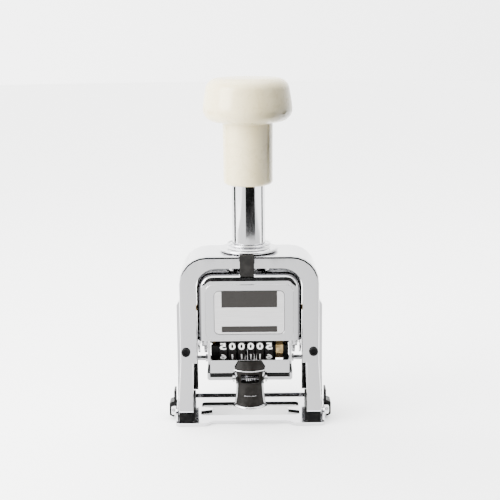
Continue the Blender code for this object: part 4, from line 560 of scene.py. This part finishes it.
def make_collar_rims():
    """Rolled edges of the collar's flange and boss."""
    for name, radius, height, bead in COLLAR_RIMS:
        profile = curve_arc((radius, height), bead, -180.0, 180.0, COLLAR_RIM_STEPS)
        lathe(name, profile, CHROME, "frame")


# Label bands

def make_band(name, bottom, top):
    """A thin printed band, laid on the label."""
    shape = bmesh.new()
    bmesh.ops.create_cube(shape, size=1.0)
    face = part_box("nameplate")[0].y
    bmesh.ops.scale(shape, verts=shape.verts,
                    vec=(2 * BAND_HALF_WIDTH, BAND_THICKNESS, top - bottom))
    bmesh.ops.translate(shape, verts=shape.verts,
                        vec=(0.0, face - BAND_STAND, (top + bottom) / 2))
    bmesh.ops.bevel(shape, geom=shape.edges, offset=BAND_EDGE, offset_type="OFFSET", segments=1,
                    profile=0.5, affect="EDGES", material=-1)
    piece_from(name, shape, BAND, "plunger")


# Bright trim of the catch lever

def lever_point(height, across, out):
    """A place on the lever's front, pushed outwards, from its height and its share across."""
    share = (height - LEVER_BOTTOM) / (LEVER_TOP - LEVER_BOTTOM)
    for upper, lower in zip(LEVER_SHARES, LEVER_SHARES[1:]):
        if upper[0] >= share >= lower[0]:
            blend = (share - lower[0]) / (upper[0] - lower[0])
            width, lean, bulge = (low + (high - low) * blend
                                  for high, low in zip(upper[1:], lower[1:]))
            break
    return Vector((LEVER_HALF_WIDTH * width * across,
                   LEVER_FRONT_Y - LEVER_LEAN * lean + LEVER_BULGE * bulge * across ** 2 - out,
                   height))


def make_lever_trim():
    """Plated rims over the enamel: under the head, down both sides and along the foot."""
    steps = range(RIM_STEPS + 1)
    across = [2.0 * step / RIM_STEPS - 1.0 for step in steps]
    head = [lever_point(HEAD_RIM_HEIGHT + HEAD_RIM_RISE * share ** 2, share, HEAD_RIM_STAND)
            for share in across]
    wire("lever_head_rim", head, HEAD_RIM_BEAD, CHROME, "catch")
    foot = [lever_point(LEVER_BOTTOM + FOOT_RIM_LIFT + FOOT_RIM_RISE * share ** 2, share,
                        FOOT_RIM_STAND) for share in across]
    wire("lever_foot_rim", foot, FOOT_RIM_BEAD, CHROME, "catch")
    crease = [lever_point(CREASE_HEIGHT, CREASE_SHARE * share, CREASE_STAND)
              for share in across]
    wire("lever_crease", crease, CREASE_BEAD, STEEL, "catch")
    heights = [SIDE_RIM_TOP - (SIDE_RIM_TOP - SIDE_RIM_BOTTOM) * step / RIM_STEPS
               for step in steps]
    for side, word in ((-1, "left"), (1, "right")):
        rim = [lever_point(height, side * SIDE_RIM_SHARE, SIDE_RIM_STAND)
               for height in heights]
        wire(f"lever_side_rim_{word}", rim, SIDE_RIM_BEAD, CHROME, "catch")


# Dark pieces round the wheels and behind the lever, as painted shade

def make_dark_insides():
    """Painted shade: a black apron behind the wheels, and a black pad behind the lever's window.
    """
    # Painted shade: a black plate behind the wheels
    plate("wheel_bay_shade_apron", APRON_LOW, APRON_HIGH, APRON_EDGE, PLASTIC, "plunger")
    # Painted shade: a black pad behind the lever's window
    plate("lever_window_shade_pad", WINDOW_PAD_LOW, WINDOW_PAD_HIGH, WINDOW_PAD_EDGE, PLASTIC, "tray")


def half_washer(shape, left, right):
    """Lower half of a flanged washer round the axle: a thin web and a wide rim."""
    web = right - WASHER_WEB
    profile = [(AXLE_HOLE, right), (WASHER_RADIUS, right), (WASHER_RADIUS, left),
               (WASHER_RIM, left), (WASHER_RIM, web), (AXLE_HOLE, web)]
    points = [shape.verts.new((across, AXLE_Y - radius, AXLE_Z)) for radius, across in profile]
    face = shape.faces.new(points)
    bmesh.ops.spin(shape, geom=[face], cent=(0.0, AXLE_Y, AXLE_Z), axis=(1.0, 0.0, 0.0),
                   angle=math.pi, steps=WASHER_STEPS, use_merge=False)


def make_washers():
    """Black washers that close the gaps below and between the wheels, as painted shade."""
    wheels = [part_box(f"number_wheel_{number}") for number in range(1, WHEEL_COUNT + 1)]
    wheels.append(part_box("repeat_wheel"))
    lefts = [-BAY_HALF_WIDTH]
    lefts += [high.x - RATCHET_WIDTH for low, high in wheels[:-1]]
    lefts.append(wheels[-1][1].x)
    rights = [low.x for low, high in wheels] + [BAY_HALF_WIDTH]
    shape = bmesh.new()
    for left, right in zip(lefts, rights):
        half_washer(shape, left + WASHER_GAP, right - WASHER_GAP)
    bmesh.ops.remove_doubles(shape, verts=shape.verts, dist=WELD)
    bmesh.ops.recalc_face_normals(shape, faces=shape.faces)
    # Painted shade: the washers fill the gaps between the wheels with black
    piece_from("wheel_gap_shade_washers", shape, PLASTIC, "plunger")


# Figures on the wheels

def figure_relief(digit):
    """One figure in relief, centred, and reversed as type is."""
    text = bpy.data.curves.new("figure", "FONT")
    text.body = str(digit)
    text.size = FIGURE_SIZE
    text.align_x = "CENTER"
    text.extrude = FIGURE_RELIEF
    text.bevel_depth = FIGURE_ROUND
    text.offset = FIGURE_THICKENING
    text.resolution_u = FIGURE_RESOLUTION
    holder = bpy.data.objects.new("figure", text)
    bpy.context.collection.objects.link(holder)
    relief = bmesh.new()
    relief.from_mesh(holder.to_mesh())
    holder.to_mesh_clear()
    bpy.data.objects.remove(holder)
    bpy.data.curves.remove(text)
    left = min(vertex.co.x for vertex in relief.verts)
    right = max(vertex.co.x for vertex in relief.verts)
    bottom = min(vertex.co.y for vertex in relief.verts)
    top = max(vertex.co.y for vertex in relief.verts)
    bmesh.ops.translate(relief, verts=relief.verts,
                        vec=(-(left + right) / 2, -(bottom + top) / 2, 0.0))
    width = 1.0 if digit == 1 else FIGURE_WIDTH / (right - left)
    bmesh.ops.scale(relief, verts=relief.verts, vec=(-width, 1.0, 1.0))
    return relief


def make_figures(number):
    """Raised figures on ten of one wheel's faces; its last two faces are plain."""
    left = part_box(f"number_wheel_{number}")[0].x
    place = Matrix.Translation((left + FIGURE_MIDDLE, AXLE_Y, AXLE_Z))
    out = Matrix.Translation((0.0, -PAD_REACH - FIGURE_STAND, 0.0))
    stand = Matrix.Rotation(math.radians(90.0), 4, "X")
    shape = bmesh.new()
    for face in range(WHEEL_FACES):
        digit = (face + FIRST_FIGURES[number - 1]) % WHEEL_FACES
        if digit > LAST_FIGURE:
            continue
        relief = figure_relief(digit)
        turn = Matrix.Rotation(math.tau * face / WHEEL_FACES, 4, "X")
        bmesh.ops.transform(relief, verts=relief.verts, matrix=place @ turn @ out @ stand)
        part = bpy.data.meshes.new("figure")
        relief.to_mesh(part)
        relief.free()
        shape.from_mesh(part)
        bpy.data.meshes.remove(part)
    bmesh.ops.remove_doubles(shape, verts=shape.verts, dist=WELD)
    bmesh.ops.recalc_face_normals(shape, faces=shape.faces)
    piece_from(f"wheel_figures_{number}", shape, FIGURE, f"wheel_{number}")


# Studio

def make_camera():
    """The camera, where the photographer's stood."""
    lens = bpy.data.cameras.new("photo_camera")
    lens.lens = CAMERA_LENS
    lens.sensor_width = SENSOR_WIDTH
    camera = bpy.data.objects.new("photo_camera", lens)
    bpy.context.collection.objects.link(camera)
    tilt = Matrix.Rotation(math.radians(90.0 - CAMERA_PITCH), 4, "X")
    roll = Matrix.Rotation(math.radians(-CAMERA_ROLL), 4, "Z")
    camera.matrix_world = Matrix.Translation(CAMERA_PLACE) @ tilt @ roll
    bpy.context.scene.camera = camera


def lamp(name, place, aim, size, power):
    """A soft rectangular light."""
    data = bpy.data.lights.new(name, "AREA")
    data.shape = "RECTANGLE"
    data.size, data.size_y = size
    data.energy = power
    thing = bpy.data.objects.new(name, data)
    bpy.context.collection.objects.link(thing)
    thing.location = place
    thing.rotation_euler = (Vector(aim) - Vector(place)).to_track_quat("-Z", "Y").to_euler()


def upright_card(centre, width, height):
    """A flat card that stands across the view."""
    shape = bmesh.new()
    bmesh.ops.create_grid(shape, x_segments=1, y_segments=1, size=0.5)
    place = (Matrix.Translation(centre) @ Matrix.Rotation(math.radians(90.0), 4, "X")
             @ Matrix.Diagonal((width, height, 1.0, 1.0)))
    bmesh.ops.transform(shape, verts=shape.verts, matrix=place)
    return shape


def bent_card(radius, start, end, low, high, low_radius=None):
    """A card bent round the stem, from one angle to another, counted from the front."""
    shape = bmesh.new()
    turn = Matrix.Rotation(math.radians(start), 4, "Z")
    bottom = shape.verts.new(turn @ Vector((0.0, -(low_radius or radius), low)))
    top = shape.verts.new(turn @ Vector((0.0, -radius, high)))
    edge = shape.edges.new((bottom, top))
    bmesh.ops.spin(shape, geom=[bottom, top, edge], cent=(0.0, 0.0, 0.0), axis=(0.0, 0.0, 1.0),
                   angle=math.radians(end - start), steps=BENT_CARD_STEPS, use_merge=False)
    bmesh.ops.translate(shape, verts=shape.verts, vec=(0.0, STEM_Y, 0.0))
    return shape


def low_card(left, right, front, back, height):
    """A flat card just over the floor."""
    shape = bmesh.new()
    bmesh.ops.create_grid(shape, x_segments=1, y_segments=1, size=0.5)
    bmesh.ops.scale(shape, verts=shape.verts, vec=(right - left, back - front, 1.0))
    bmesh.ops.translate(shape, verts=shape.verts,
                        vec=((left + right) / 2, (front + back) / 2, height))
    return shape


def studio_object(name, shape, material):
    """A piece of the studio from a bmesh."""
    mesh = bpy.data.meshes.new(name)
    shape.to_mesh(mesh)
    shape.free()
    mesh.materials.append(material)
    thing = bpy.data.objects.new(name, mesh)
    bpy.context.collection.objects.link(thing)
    return thing


def card(name, shape, brightness, far_brightness=None):
    """A card that only reflections see, and that may be darker towards its right side."""
    material = bpy.data.materials.new(name)
    material.use_nodes = True
    nodes, links = material.node_tree.nodes, material.node_tree.links
    nodes.remove(nodes["Principled BSDF"])
    glow = nodes.new("ShaderNodeEmission")
    glow.inputs["Color"].default_value = (brightness, brightness, brightness, 1.0)
    glow.inputs["Strength"].default_value = 1.0
    links.new(glow.outputs["Emission"], nodes["Material Output"].inputs["Surface"])
    if far_brightness:
        split = nodes.new("ShaderNodeSeparateXYZ")
        spread = nodes.new("ShaderNodeMapRange")
        for socket, number in (("From Min", -CARD_FADE), ("From Max", CARD_FADE),
                               ("To Min", 1.0), ("To Max", far_brightness / brightness)):
            spread.inputs[socket].default_value = number
        links.new(nodes.new("ShaderNodeTexCoord").outputs["Object"], split.inputs["Vector"])
        links.new(split.outputs["X"], spread.inputs["Value"])
        links.new(spread.outputs["Result"], glow.inputs["Strength"])
    thing = studio_object(name, shape, material)
    thing.visible_camera = False
    thing.visible_diffuse = False
    thing.visible_shadow = False


def shade(name, shape):
    """A black card that throws shade, and that neither the camera nor a reflection sees."""
    black = Finish(name, (0.0, 0.0, 0.0), metallic=0.0, roughness=1.0)
    thing = studio_object(name, shape, black.material)
    thing.visible_camera = False
    thing.visible_glossy = False


def make_floor():
    """A wide pale floor."""
    shape = bmesh.new()
    bmesh.ops.create_circle(shape, cap_ends=True, segments=FLOOR_SEGMENTS, radius=FLOOR_RADIUS)
    bmesh.ops.recalc_face_normals(shape, faces=shape.faces)
    pale = Finish("floor", (0.93, 0.93, 0.925), metallic=0.0, roughness=0.7)
    floor = studio_object("floor", shape, pale.material)
    floor.location.z = -FLOOR_DROP


def make_world():
    """White all round, brighter from the left."""
    world = bpy.data.worlds.new("studio")
    world.use_nodes = True
    nodes, links = world.node_tree.nodes, world.node_tree.links
    sky = nodes["Background"]
    sky.inputs["Color"].default_value = (1.0, 1.0, 1.0, 1.0)
    direction = nodes.new("ShaderNodeTexCoord").outputs["Generated"]
    split = nodes.new("ShaderNodeSeparateXYZ")
    spread = nodes.new("ShaderNodeMapRange")
    for socket, number in (("From Min", -1.0), ("From Max", 1.0),
                           ("To Min", SKY_LEFT), ("To Max", SKY_RIGHT)):
        spread.inputs[socket].default_value = number
    links.new(direction, split.inputs["Vector"])
    links.new(split.outputs["X"], spread.inputs["Value"])
    links.new(spread.outputs["Result"], sky.inputs["Strength"])
    bpy.context.scene.world = world


for node, node_slot in SLOT_OF.items():
    dress(node, BY_SLOT[node_slot])
make_camera()
make_world()
make_floor()
make_handle()
make_stem()
# Painted shade on the casing's leg walls that face the opening
finished_copy("frame_casing", "frame", SHELL_EDGE, shade_material=LEG_WALL_SHADE, is_shaded=faces_the_middle)
# Painted shade: black on the window's cut edges that face the front
finished_copy("base_plate", "frame", SHEET_EDGE, shade_material=BLACK, is_shaded=is_cut_edge)
make_lever_trim()
make_dark_insides()
make_washers()
make_collar_rims()
dress("catch_spring", CHROME)
finished_copy("carriage_cover", "plunger", SHELL_EDGE)
finished_copy("collar", "frame", COLLAR_EDGE)
finished_copy("ink_tray", "tray", SHEET_EDGE)
finished_copy("pad_keeper", "tray", SHEET_EDGE)
finished_copy("nameplate", "plunger", LABEL_EDGE)
finished_copy("stop_button", "stop", STOP_EDGE, material=STOP)
finished_copy("catch_lever", "catch", SHEET_EDGE)
for hand in ("left", "right"):
    finished_copy(f"rubber_foot_{hand}", "frame", RUBBER_EDGE)
    finished_copy(f"latch_{hand}", f"{hand}_latch", SHELL_EDGE)
for band_name, band_bottom, band_top in LABEL_BANDS:
    make_band(band_name, band_bottom, band_top)
for wheel in range(1, WHEEL_COUNT + 1):
    make_figures(wheel)
card("dark_front", upright_card(FRONT_CARD_CENTRE, *FRONT_CARD_SIZE), FRONT_CARD_GLOW)
for card_name, card_glow, *card_bend in BENT_CARDS:
    card(card_name, bent_card(*card_bend), card_glow)
card("floor_glow", low_card(*FLOOR_CARD), FLOOR_CARD_LEFT, FLOOR_CARD_RIGHT)
shade("right_shade", bent_card(*RIGHT_SHADE))
for lamp_facts in LAMPS:
    lamp(*lamp_facts)
